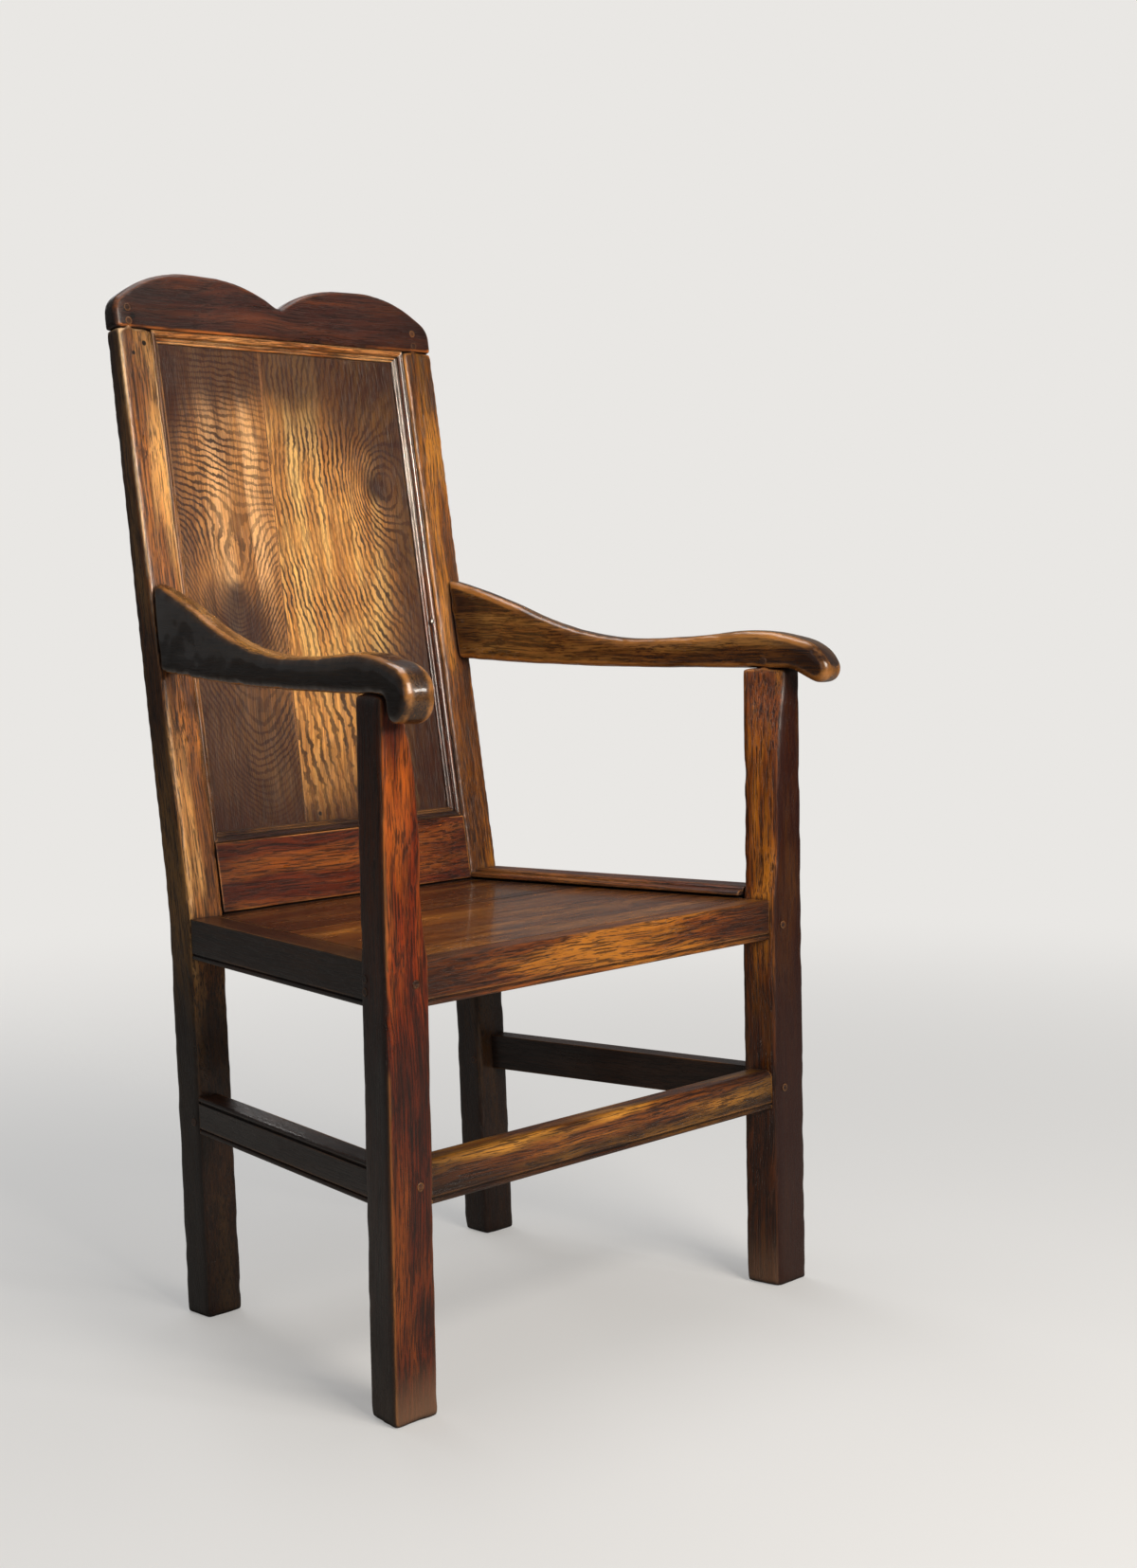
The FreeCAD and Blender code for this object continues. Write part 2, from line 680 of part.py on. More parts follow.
def front_member(name, inset, bottom, height, thickness, rebate, joint):
    """The front rail or stretcher, shouldered and tenoned between the front posts."""
    section = rail_section(inset, 1, bottom, height, thickness, rebate)
    start = -half_width + size("left_post_width")
    length = size("front_width") - size("left_post_width") - size("right_post_width")
    body = solid(f"{name}_blank", "side", section, start, length, RIGHTWARDS)
    worn = size("arris") if rebate else size("worn_arris")
    top_front = Part.Vertex(start.value, inset.value, (bottom + height).value)
    soften(body, f"{name}_worn_edge", worn,
           lambda edge: goes(edge, RIGHTWARDS) and edge.distToShape(top_front)[0] < edge_margin.value)
    beyond = [beyond_post(f"{name}_beyond_{side}", side) for side in SIDES]
    shouldered = cut(f"{name}_shouldered", body, beyond)
    tenons = [front_tenon(f"{name}_tenon_{side}", side, bottom, height, False) for side in SIDES]
    return cut(name, join(f"{name}_whole", [shouldered] + tenons), peg_holes(name, (joint,), *SIDES))


def run_between(name, side, section, start):
    """A section run along the side of the seat, cut square to the chair at a place behind its front."""
    body = in_run(solid(f"{name}_blank", "front", section, nothing,
                        (seat_depth + overrun) / cos(splay), BACKWARDS), side)
    before = span(f"{name}_before", side, (nothing, half_width + overrun), (-overrun, start),
                  (nothing, seat_height + overrun))
    return body, before


def side_member(name, side, bottom, height, thickness, rebate, joints):
    """A side rail or stretcher, which runs inwards to the back between a front post and a rear leg."""
    sign = SIDES[side]
    face = size("side_rail_inset") * cos(splay) * -sign
    section = rail_section(face, -sign, bottom, height, thickness, rebate, top_bead=rebate is None)
    body, before = run_between(name, side, section, post_depth(side))
    behind = lean(f"{name}_leg", [span(f"{name}_behind", side, (nothing, half_width), (nothing, cutter_span),
                                       (-seat_height, overrun))], size("leg_lean"))
    shouldered = cut(f"{name}_shouldered", body, [before, behind])
    tenons = [side_tenon(f"{name}_front_tenon", side, bottom, height, False),
              rear_tenon(f"{name}_rear_tenon", side, bottom, height, False)]
    return cut(name, join(f"{name}_whole", [shouldered] + tenons), peg_holes(name, joints, side))


def rear_seat_rail():
    """The rail under the back of the seat, plain because it never shows."""
    name = "rear_seat_rail"
    front = seat_depth + size("rear_rail_set_back")
    rail = span(f"{name}_blank", "right", (-stile_inner, stile_inner),
                (front, front + size("rear_rail_thickness")),
                (board_bottom - size("rail_height"), board_bottom))
    return join(name, [rail] + [cross_tenon(f"{name}_tenon_{side}", side, False) for side in SIDES])


# Seat: two boards that run across in the rails' rebates, the front one notched round the posts

def seat_board_front():
    gap = size("board_gap")
    front = size("front_rail_inset") + front_rail_thickness - size("rebate_width") + gap
    back = size("front_board_edge") - gap / 2
    outline = []
    for side, sign in SIDES.items():
        notch = post_depth(side) + gap
        edge = [((post_inner(side, front) - gap) * sign, front),
                ((post_inner(side, notch) - gap) * sign, notch),
                ((rebate_wall(notch) - gap) * sign, notch), ((rebate_wall(back) - gap) * sign, back)]
        outline = edge + outline[::-1]
    return solid("seat_board_front", "plan", outline, board_bottom, size("board_thickness"), UP)


def seat_board_rear():
    gap = size("board_gap")
    front = size("front_board_edge") + gap / 2
    back = seat_depth - gap
    tongue = seat_depth + size("board_tongue")
    outline = []
    for sign in SIDES.values():
        edge = [((rebate_wall(front) - gap) * sign, front), ((rebate_wall(back) - gap) * sign, back),
                ((stile_inner - gap) * sign, back), ((stile_inner - gap) * sign, tongue)]
        outline = edge + outline[::-1]
    return solid("seat_board_rear", "plan", outline, board_bottom, size("board_thickness"), UP)


# A moulded strip lies on the right-hand rail only and reaches over the boards with a small gap

STRIP_SHARES = (  # width from the outer edge inwards, height; the third is the radius of a bead
    (1.0, 0.34, 0.5), (0.83, 0.68), (0.81, 0.6), (0.785, 0.72, 0.5), (0.61, 0.96), (0.59, 0.86), (0.57, 1.0),
)


def seat_border():
    name = "seat_border_right"
    face = -size("side_rail_inset") * cos(splay)
    width = size("strip_flat") + size("strip_lip")
    height = size("strip_height")
    lip = seat_height + size("strip_clearance")
    section = [(face, seat_height), (face - size("strip_flat"), seat_height),
               (face - size("strip_flat"), lip), (face - width, lip)]
    for share in STRIP_SHARES:
        bend = [height * -share[2]] if len(share) == 3 else []
        section.append((face - width * share[0], seat_height + height * share[1], *bend))
    section.append((face, seat_height + height))
    body, before = run_between(name, "right", section, post_depth("right") + size("board_gap"))
    behind = lean(f"{name}_stile", [span(f"{name}_behind", "right", (nothing, half_width),
                                         (nothing, cutter_span), (-overrun, cutter_span))])
    return cut(name, body, [before, behind])


# Back: lower rail, panel of two boards and mitred moulding, all drawn in the back's frame

def back_lower_rail():
    name = "back_lower_rail"
    low = size("lower_rail_gap")
    outline = [(-stile_inner, low), (stile_inner, low), (stile_inner, lower_rail_top),
               (-stile_inner, lower_rail_top)]
    body = solid(f"{name}_blank", "front", outline, nothing, size("lower_rail_depth"), BACKWARDS)
    tenons = [lower_rail_tenon(f"{name}_tenon_{side}", side, False) for side in SIDES]
    groove = panel_groove(f"{name}_groove", (-stile_inner - overrun, stile_inner + overrun),
                          (lower_rail_top - size("groove_depth"), lower_rail_top + overrun))
    return cut(name, join(f"{name}_whole", [body] + tenons), [groove])


def panel_board(side):
    """One of the panel's two upright boards. The joint between them leans a little."""
    sign = SIDES[side]
    edge = (stile_inner + size("groove_depth") - size("panel_slack")) * sign
    low = lower_rail_top - size("groove_depth")
    high = back_length + size("groove_depth") - size("panel_slack")
    half_gap = size("panel_joint_gap") / 2 * sign
    outline = [(edge, low), (half_gap - size("panel_joint_bottom"), low),
               (half_gap - size("panel_joint_top"), high), (edge, high)]
    return solid(f"back_panel_board_{side}", "front", outline, size("panel_set_back"),
                 size("panel_thickness"), BACKWARDS)


MOULDING_SHARES = (  # width from the frame inwards, depth backwards; the third is a bead's radius
    (0.0, 1.0), (1.0, 1.0), (1.0, 0.86, 0.13), (0.83, 0.76), (0.8, 0.82), (0.77, 0.72, 0.15), (0.6, 0.6),
    (0.57, 0.67), (0.53, 0.5, 0.34), (0.1, 0.12), (0.04, 0.2), (0.0, 0.2),
)


def moulding(place):
    """One of the four mitred lengths round the panel: a broad bead and two reeds."""
    name = f"panel_moulding_{place}"
    width = size("moulding_width")
    depth = size("panel_set_back") - size("moulding_set_back")
    upright = place in SIDES
    if upright:
        frame_edge = stile_inner * SIDES[place]
        inward = -SIDES[place]
    else:
        frame_edge = back_length if place == "top" else lower_rail_top
        inward = -1 if place == "top" else 1
    outline = []
    for share in MOULDING_SHARES:
        across = frame_edge + width * (share[0] * inward)
        back = size("moulding_set_back") + depth * share[1]
        turn = -inward if upright else inward
        bend = [width * (share[2] * turn)] if len(share) == 3 else []
        outline.append((across, back, *bend) if upright else (back, across, *bend))
    if upright:
        body = solid(f"{name}_blank", "plan", outline, lower_rail_top, back_length - lower_rail_top, UP)
        ends = (lower_rail_top, back_length)
    else:
        body = solid(f"{name}_blank", "side", outline, -stile_inner, stile_inner * 2, RIGHTWARDS)
        ends = (-stile_inner, stile_inner)
    mitres = []
    for number, (end, step) in enumerate(zip(ends, (1, -1))):
        inner = frame_edge + width * inward
        corner, side_point, far_point = (frame_edge, end), (inner, end), (inner, end + width * step)
        triangle = [corner, side_point, far_point]
        if not upright:
            triangle = [(along, across) for across, along in triangle]
        mitres.append(solid(f"{name}_mitre{number}", "front", triangle, -overrun,
                            overrun + cutter_span, BACKWARDS))
    return cut(name, body, mitres)


# Crest rail: it lies on the heads of the stiles and is cut to a double arch with a notch in the middle

CREST_SHARES = (  # half width and height of the outline's corners, then how far an arc rises over its chord
    (1.0, 0.26, 0.131), (0.948, 0.556, 0.0754), (0.552, 1.0), (0.431, 0.988, 0.0733), (0.0, 0.549),
)


def bend_radius(start, end, rise):
    """The radius of an arc between two corners, from its rise over the chord."""
    across, up = end[0] - start[0], end[1] - start[1]
    return root(across * across + up * up) * ((1 + 4 * rise * rise) / (8 * rise))


def crest_rail():
    name = "crest_rail"
    half = stile_outer + size("crest_overhang")
    corners = [(half * share[0], back_length + size("crest_height") * share[1]) for share in CREST_SHARES]
    bends = [[bend_radius(corners[number], corners[number + 1], share[2])] if len(share) == 3 else []
             for number, share in enumerate(CREST_SHARES)]
    right = [(*corner, *bend) for corner, bend in zip(corners[:-1], bends)]
    left = [(-corners[number][0], corners[number][1], *bends[number - 1])
            for number in range(len(corners) - 1, 0, -1)]
    shoulder = corners[0]
    outline = [(-half, back_length), (half, back_length)] + right + left + [(-shoulder[0], shoulder[1])]
    body = solid(f"{name}_blank", "front", outline, nothing, size("crest_depth"), BACKWARDS)
    ease(body, f"{name}_arrises", size("crest_arris"),
         lambda edge: edge.BoundBox.ZMax > (back_length + edge_margin).value and not goes(edge, BACKWARDS))
    tools = [crest_tenon(f"{name}_mortise_{side}", side, True) for side in SIDES]
    reach = stile_inner + size("groove_depth")
    tools.append(panel_groove(f"{name}_groove", (-reach, reach),
                              (back_length - overrun, back_length + size("groove_depth"))))
    return cut(name, body, tools + peg_holes(name, ("crest",), *SIDES))


# Arms: sawn to a long S in profile, with a rounded scroll in front of the post. Each is drawn along its
# own run, then cut to the leaning face of the stile and tenoned into it.

ARM_SHARES = {  # place along the run, or forwards along the reach, height over the rise, radius over that
    "left": (
        (0.272, 0.0, 8.8), (1.11, 0.16), (1.11, 1.064, 1.76), (0.754, 0.598, -1.045), (0.328, 0.31, -1.535),
        (0.192, 0.335, 0.55), (-0.513, 0.251, 0.696, True), (-1.0, -0.005, 0.633, True),
        (-0.6, -0.237, 0.348, True), (-0.129, -0.142), (0.0, 0.0),
    ),
    "right": (
        (0.272, 0.0, 10), (1.11, 0.123), (1.11, 1.027, 1.76), (0.754, 0.562, -0.957), (0.328, 0.315, -1.535),
        (0.192, 0.352, 0.55), (-0.41, 0.283, 0.813, True), (-0.977, 0.041, 0.284, True),
        (-0.596, -0.134, 1.135, True), (-0.098, -0.01), (0.0, 0.0),
    ),
}


def arm(side):
    name = f"arm_{side}"
    sign = SIDES[side]
    height = arm_height(side)
    run = arm_run(side)
    reach = size(f"{side}_arm_reach")
    outline = []
    for share in ARM_SHARES[side]:
        length = run if share[0] > 0 else reach
        bend = [length * share[2]] if len(share) > 2 else []
        outline.append((length * share[0], height + size("arm_rear_rise") * share[1], *bend, *share[3:]))
    before, past = -reach - overrun, run + cutter_span
    width = arm_width(side, before)
    body = solid(f"{name}_blank", "side", outline, nothing, width, (-sign, 0, 0))
    wedge = [(width * -sign, before), (arm_width(side, past) * -sign, past), (width * -sign, past)]
    low = height - reach
    tall = size("arm_rear_rise") + reach + overrun
    pocket(body, f"{name}_taper", draw(body, f"{name}_taper_outline", "plan", wedge, low), tall)
    ease(body, f"{name}_arrises", size("arm_arris"),
         lambda edge: not goes(edge, RIGHTWARDS) and not goes(edge, UP)
         and edge.Length > size("arm_shortest_arris").value
         and (edge.BoundBox.ZMax > (height + overrun).value or edge.BoundBox.YMax < edge_margin.value))
    bend = size("arm_front_round")
    trim = [((width - bend) * -sign, before), ((width + bend) * -sign, before),
            ((width + bend) * -sign, bend - reach), (width * -sign, bend - reach, bend * sign),
            ((width - bend) * -sign, -reach)]
    trimmed = in_run(cut(f"{name}_trimmed", body, [solid(f"{name}_trim", "plan", trim, low, tall, UP)]), side)
    behind = lean(f"{name}_stile", [span(f"{name}_behind", side, (nothing, half_width),
                                         (nothing, seat_depth), (nothing, back_length))])
    shouldered = cut(f"{name}_shouldered", trimmed, [behind])
    tenon = lean(f"{name}_rear", [arm_tenon(f"{name}_tenon", side, False)])
    whole = join(f"{name}_whole", [shouldered, tenon])
    return cut(name, whole, [post_tenon(f"{name}_mortise", side, True)] + peg_holes(name, ("arm",), side))


def peg_group(name, joints):
    group = doc.addObject("Part::Compound", name)
    group.Links = peg_rods(name, joints, tuple(SIDES))
    return group


# The chair: pieces that stand in its own frame, then pieces that lean with the back

upright_pieces = {}
for side in SIDES:
    upright_pieces[f"front_post_{side}"] = front_post(side)
    upright_pieces[f"rear_stile_{side}"] = rear_stile(side)
    upright_pieces[f"side_seat_rail_{side}"] = side_member(
        f"side_seat_rail_{side}", side, rail_bottom, size("rail_height"), size("side_rail_thickness"),
        size("rebate_width"), ("side_rail",))
    upright_pieces[f"side_stretcher_{side}"] = side_member(
        f"side_stretcher_{side}", side, stretcher_bottom, size("side_stretcher_height"),
        size("stretcher_thickness"), None, ("rear_leg",))
    upright_pieces[f"arm_{side}"] = arm(side)
upright_pieces["front_seat_rail"] = front_member(
    "front_seat_rail", size("front_rail_inset"), rail_bottom, size("rail_height"),
    front_rail_thickness, size("rebate_width"), "front_rail")
upright_pieces["front_stretcher"] = front_member(
    "front_stretcher", size("front_stretcher_inset"), stretcher_bottom, size("front_stretcher_height"),
    size("stretcher_thickness"), None, "front_stretcher")
upright_pieces["rear_seat_rail"] = rear_seat_rail()
upright_pieces["seat_board_front"] = seat_board_front()
upright_pieces["seat_board_rear"] = seat_board_rear()
upright_pieces["seat_border_right"] = seat_border()
upright_pieces["pegs_seat_rails"] = peg_group("pegs_seat_rails", ("front_rail", "side_rail"))
upright_pieces["pegs_stretchers"] = peg_group("pegs_stretchers", ("front_stretcher", "rear_leg"))
upright_pieces["pegs_arms"] = peg_group("pegs_arms", ("arm",))

leaning_pieces = {"crest_rail": crest_rail(), "back_lower_rail": back_lower_rail()}
for side in SIDES:
    leaning_pieces[f"back_panel_board_{side}"] = panel_board(side)
for place in ("top", "bottom", "left", "right"):
    leaning_pieces[f"panel_moulding_{place}"] = moulding(place)
leaning_pieces["pegs_crest"] = peg_group("pegs_crest", ("crest",))

for piece in upright_pieces.values():
    in_chair(piece)
for piece in leaning_pieces.values():
    in_back(piece)
pieces = {**upright_pieces, **leaning_pieces}
for label, piece in pieces.items():
    piece.Label = label
doc.recompute()

# Every object must be sound before anything is written

failed = [thing.Name for thing in doc.Objects if "Invalid" in thing.State or "Error" in thing.State]
if failed:
    raise RuntimeError(f"failed objects: {failed}")
for label, piece in pieces.items():
    solids = len(piece.Shape.Solids)
    expected = len(piece.Links) if label.startswith("pegs_") else 1
    if piece.Shape.isNull() or not piece.Shape.isValid() or solids != expected:
        raise RuntimeError(f"unsound piece: {label} with {solids} solids")
    if piece.Label != label:
        raise RuntimeError(f"label taken: {label} became {piece.Label}")

os.makedirs("parts", exist_ok=True)
whole = Part.makeCompound([piece.Shape for piece in pieces.values()])
for label, piece in pieces.items():
    piece.Shape.exportStep(f"parts/{label}.step")
    print(f"{label:26s} {piece.Shape.Volume / 1000:9.1f} cm3")
print("bounding box", whole.optimalBoundingBox(False))
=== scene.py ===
import math
import bmesh
import bpy
from mathutils import Matrix, Vector, noise


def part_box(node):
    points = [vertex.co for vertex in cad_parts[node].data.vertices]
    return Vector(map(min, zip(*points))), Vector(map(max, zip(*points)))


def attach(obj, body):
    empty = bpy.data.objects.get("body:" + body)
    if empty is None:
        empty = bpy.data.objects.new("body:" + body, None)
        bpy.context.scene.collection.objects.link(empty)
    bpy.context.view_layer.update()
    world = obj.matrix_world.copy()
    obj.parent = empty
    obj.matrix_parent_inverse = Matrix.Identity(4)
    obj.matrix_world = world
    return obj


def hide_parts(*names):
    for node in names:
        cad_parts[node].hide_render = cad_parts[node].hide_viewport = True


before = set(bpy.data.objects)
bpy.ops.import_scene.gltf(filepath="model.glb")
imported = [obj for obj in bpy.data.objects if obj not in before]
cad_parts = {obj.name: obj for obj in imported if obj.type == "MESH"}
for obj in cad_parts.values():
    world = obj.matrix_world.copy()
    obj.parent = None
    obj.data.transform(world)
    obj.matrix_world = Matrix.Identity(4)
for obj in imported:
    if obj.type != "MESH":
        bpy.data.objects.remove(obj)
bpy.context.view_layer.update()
scene = bpy.context.scene
scene.view_settings.view_transform = "Standard"


# Camera: it stands in front of the chair and to its left, a little above the arms, and looks at the corner
# post. Its place, its turn and its long lens are those of the photograph.

yaw, down, roll = math.radians(44.96), math.radians(3.395), math.radians(-1.072)
forward = Vector((math.sin(yaw) * math.cos(down), math.cos(yaw) * math.cos(down), -math.sin(down)))
level = Vector((math.cos(yaw), -math.sin(yaw), 0))
upward = level.cross(forward)
to_right = level * math.cos(roll) + upward * math.sin(roll)
to_top = upward * math.cos(roll) - level * math.sin(roll)
camera = bpy.data.objects.new("camera", bpy.data.cameras.new("camera"))
scene.collection.objects.link(camera)
camera.matrix_world = Matrix((to_right, to_top, -forward)).transposed().to_4x4()
camera.location = (-1.62798, -1.74048, 0.76664)
camera.data.sensor_width = 36
camera.data.lens = 50.60
camera.data.shift_x = 0.03059
camera.data.shift_y = -0.03601
scene.camera = camera


# Floor and light: a plain pale studio on one wide sheet of matt paper. One soft window stands in front of the
# chair, so that the fronts and the inner right-hand faces are lit and the outer left-hand faces stay dark.

def linear(code):
    """A colour's linear values, from its sRGB hex code."""
    parts = [int(code[place:place + 2], 16) / 255 for place in (0, 2, 4)]
    return [part / 12.92 if part <= 0.04045 else ((part + 0.055) / 1.055) ** 2.4 for part in parts] + [1]


def add(tree, kind, inputs=(), **settings):
    """Add a shader node with its settings and links.

    The inputs are a list in the order in which the node shows them, or a dictionary by name. Each takes a
    value, another node's socket, or a whole node, which stands for the first output that it shows.
    """
    made = tree.nodes.new("ShaderNode" + kind)
    for name, value in settings.items():
        setattr(made, name, value)
    if isinstance(inputs, dict):
        pairs = [(made.inputs[name], value) for name, value in inputs.items()]
    else:
        pairs = zip([socket for socket in made.inputs if socket.enabled], inputs)
    for socket, value in pairs:
        if isinstance(value, bpy.types.Node):
            value = next(output for output in value.outputs if output.enabled)
        if isinstance(value, bpy.types.NodeSocket):
            tree.links.new(value, socket)
        else:
            socket.default_value = value
    return made


def fresh_tree(owner):
    """The emptied node tree of a material or of the world."""
    owner.use_nodes = True
    owner.node_tree.nodes.clear()
    return owner.node_tree


def placed(name, shape):
    """Make a piece of a worked shape and stand it in the scene."""
    mesh = bpy.data.meshes.new(name)
    shape.to_mesh(mesh)
    shape.free()
    piece = bpy.data.objects.new(name, mesh)
    scene.collection.objects.link(piece)
    return piece


BACKDROP, FAINT_LIGHT = "e9e7e4", "e6e4e2"
SHOWN_PAPER, LIT_PAPER = "e6e9ec", "a8a6a2"
PAPER_ROUGHNESS = 0.8
FLOOR_REACH = 40
shape = bmesh.new()
bmesh.ops.create_grid(shape, x_segments=1, y_segments=1, size=FLOOR_REACH)
floor = placed("studio_floor", shape)

# Matt paper: it keeps the chair's soft shadow, turns into the backdrop between 0.3 and 3 metres out, and is
# greyer for the light that it throws back, so that the underside of the seat stays dark.
paper = bpy.data.materials.new("studio_floor_matt_paper")
tree = fresh_tree(paper)
seen_by_camera = add(tree, "LightPath").outputs["Is Camera Ray"]
shown_paper = add(tree, "BsdfPrincipled", {"Base Color": linear(SHOWN_PAPER), "Roughness": PAPER_ROUGHNESS})
lit_paper = add(tree, "BsdfPrincipled", {"Base Color": linear(LIT_PAPER), "Roughness": PAPER_ROUGHNESS})
near_floor = add(tree, "MixShader", [seen_by_camera, lit_paper, shown_paper])
backdrop = add(tree, "Emission", {"Color": linear(BACKDROP), "Strength": 1.0})
away = add(tree, "VectorMath", [add(tree, "NewGeometry").outputs["Position"]], operation="LENGTH")
far = add(tree, "MapRange", [away, 0.3, 3.0, 0.35, 1.0], interpolation_type="SMOOTHSTEP")
far_seen = add(tree, "Math", [far, seen_by_camera], operation="MULTIPLY")
add(tree, "OutputMaterial", {"Surface": add(tree, "MixShader", [far_seen, near_floor, backdrop])})
floor.data.materials.append(paper)

# The world is the backdrop for the camera and for clear rays, a tenth of it for reflections, because dark wax
# looks hazy in a white room, and a faint even light for the rest.
BACKDROP_IN_GLOSS = 0.1
FAINT_STRENGTH = 0.11
world = bpy.data.worlds.new("studio")
scene.world = world
tree = fresh_tree(world)
rays = add(tree, "LightPath").outputs
seen = add(tree, "Background", {"Color": linear(BACKDROP), "Strength": 1.0})
lit = add(tree, "Background", {"Color": linear(FAINT_LIGHT), "Strength": FAINT_STRENGTH})
clear = add(tree, "Math", [rays["Is Camera Ray"], rays["Is Transmission Ray"]], operation="MAXIMUM")
glossy = add(tree, "Math", [rays["Is Glossy Ray"], BACKDROP_IN_GLOSS], operation="MULTIPLY")
share = add(tree, "Math", [clear, glossy], operation="MAXIMUM")
add(tree, "OutputWorld", {"Surface": add(tree, "MixShader", [share, lit, seen])})

# Each lamp has its place, the point that it faces, its width and height in metres, its power in watts, its
# colour and the spread of its beam in degrees.
for name, place, target, width, height, power, colour, spread in (
        ("window", (-0.35, -2.6, 1.85), (0, 0, 0.6), 1.2, 1.7, 75, "fff4e6", 180),
        ("glint", (0.55, -2.3, 1.35), (0, -0.3, 0.7), 0.3, 0.42, 8, "fff8f0", 180),
        ("back_glow", (-0.35, -2.6, 1.85), (0.02, 0.24, 0.83), 0.5, 0.5, 0.55, "fff0dc", 16),
        ("high_fill", (0.2, 0.5, 3.0), (0, 0, 0.5), 1.6, 1.6, 26, "ffffff", 180),
        ("behind", (0.9, 2.7, 1.7), (0, 0, 0.6), 1.2, 1.2, 14, "f4f2f0", 180),
        ("left_fill", (-2.7, -0.9, 1.2), (0, 0, 0.6), 1.0, 1.6, 2.5, "e8eef8", 180)):
    lamp = bpy.data.objects.new(name, bpy.data.lights.new(name, "AREA"))
    lamp.data.shape = "RECTANGLE"
    lamp.data.size, lamp.data.size_y = width, height
    lamp.data.energy = power
    lamp.data.color = linear(colour)[:3]
    lamp.data.spread = math.radians(spread)
    lamp.location = place
    lamp.rotation_euler = (Vector(target) - Vector(place)).to_track_quat("-Z", "Y").to_euler()
    scene.collection.objects.link(lamp)


# Front posts: two squared oak posts, each in one piece from the floor to the arm, planed by hand, hollowed on
# the inner side over the seat, and mortised and pegged for the rails. Wax and handling have turned the fronts
# red-gold. The left post's left sides are black with painted shade, the right post's front is dark with old
# wax, and both posts are darkened with painted shade under the seat.

UPRIGHT = ("Z", (0, math.radians(90), 0))
POST_CELL = 0.0022
POST_RUBS = 10
POST_SWAY = 0.0006
WEAR_DEPTH = 0.0008
FIRST_RUBS = 3
PEG_MARGIN = 0.002
BROAD_WAVES, SMALL_WAVES, DENTS = 17, 60, 45
SMALL_WAVE_SHARE, DENT_SHARE = 0.3, 3.2
PEG_GROUPS = ("pegs_seat_rails", "pegs_stretchers", "pegs_arms", "pegs_crest")


def worn(name, cell, rubs, sway, material):
    """Put a worn copy of a node in its place.

    The copy has even faces of one cell, and the pegs inside the node's box fill its peg holes. Its arrises are
    rubbed round in so many rubs, of which the first ones only take off the steps of the cells. Its faces sway
    by so much in broad and small waves per metre, and the worn places have dents. How far each point was
    rubbed down, as a share of the wear depth, is kept as the attribute "rubbed".
    """
    low, high = (Vector(corner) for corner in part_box(name))
    shape = bmesh.new()
    shape.from_mesh(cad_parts[name].data)
    for group in PEG_GROUPS:
        pegs = bmesh.new()
        pegs.from_mesh(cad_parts[group].data)
        outside = [point for point in pegs.verts
                   if any(point.co[axis] < low[axis] - PEG_MARGIN or point.co[axis] > high[axis] + PEG_MARGIN
                          for axis in range(3))]
        bmesh.ops.delete(pegs, geom=outside, context="VERTS")
        kept = bpy.data.meshes.new("pegs_inside")
        pegs.to_mesh(kept)
        pegs.free()
        shape.from_mesh(kept)
        bpy.data.meshes.remove(kept)
    piece = placed(f"{name}_worn", shape)
    even = piece.modifiers.new("even", "REMESH")
    even.mode = "VOXEL"
    even.voxel_size = cell
    fine = bpy.data.meshes.new_from_object(piece.evaluated_get(bpy.context.evaluated_depsgraph_get()))
    piece.modifiers.clear()

    shape = bmesh.new()
    shape.from_mesh(fine)
    for rub in range(rubs):
        if rub == FIRST_RUBS:
            before = [point.co.copy() for point in shape.verts]
        bmesh.ops.smooth_vert(shape, verts=shape.verts, factor=0.5, use_axis_x=True, use_axis_y=True,
                              use_axis_z=True)
    shape.normal_update()
    normals = [point.normal.copy() for point in shape.verts]
    rubbed = [min(max((old - point.co).dot(normal), 0) / WEAR_DEPTH, 1)
              for point, old, normal in zip(shape.verts, before, normals)]
    for point, old, wear, normal in zip(shape.verts, before, rubbed, normals):
        wave = noise.noise(old * BROAD_WAVES) + noise.noise(old * SMALL_WAVES) * SMALL_WAVE_SHARE
        dent = max(noise.noise(old * DENTS), 0) * wear * DENT_SHARE
        point.co += normal * (wave - dent) * sway
        point.co.z = max(point.co.z, low.z)
    shape.to_mesh(fine)
    shape.free()
    fine.attributes.new("rubbed", "FLOAT", "POINT").data.foreach_set("value", rubbed)
    fine.shade_smooth()
    fine.materials.clear()
    fine.materials.append(material)
    piece.data = fine
    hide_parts(name)
    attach(piece, "root")


def laid(tree, colour, tone, share, mask, low, high):
    """Lay a tone over a colour. It comes in while the mask goes from low to high, up to its share."""
    come_in = add(tree, "MapRange", [mask, low, high], interpolation_type="SMOOTHSTEP")
    come_in = add(tree, "Math", [come_in, share], operation="MULTIPLY")
    return add(tree, "Mix", [come_in, colour, linear(tone)], data_type="RGBA")


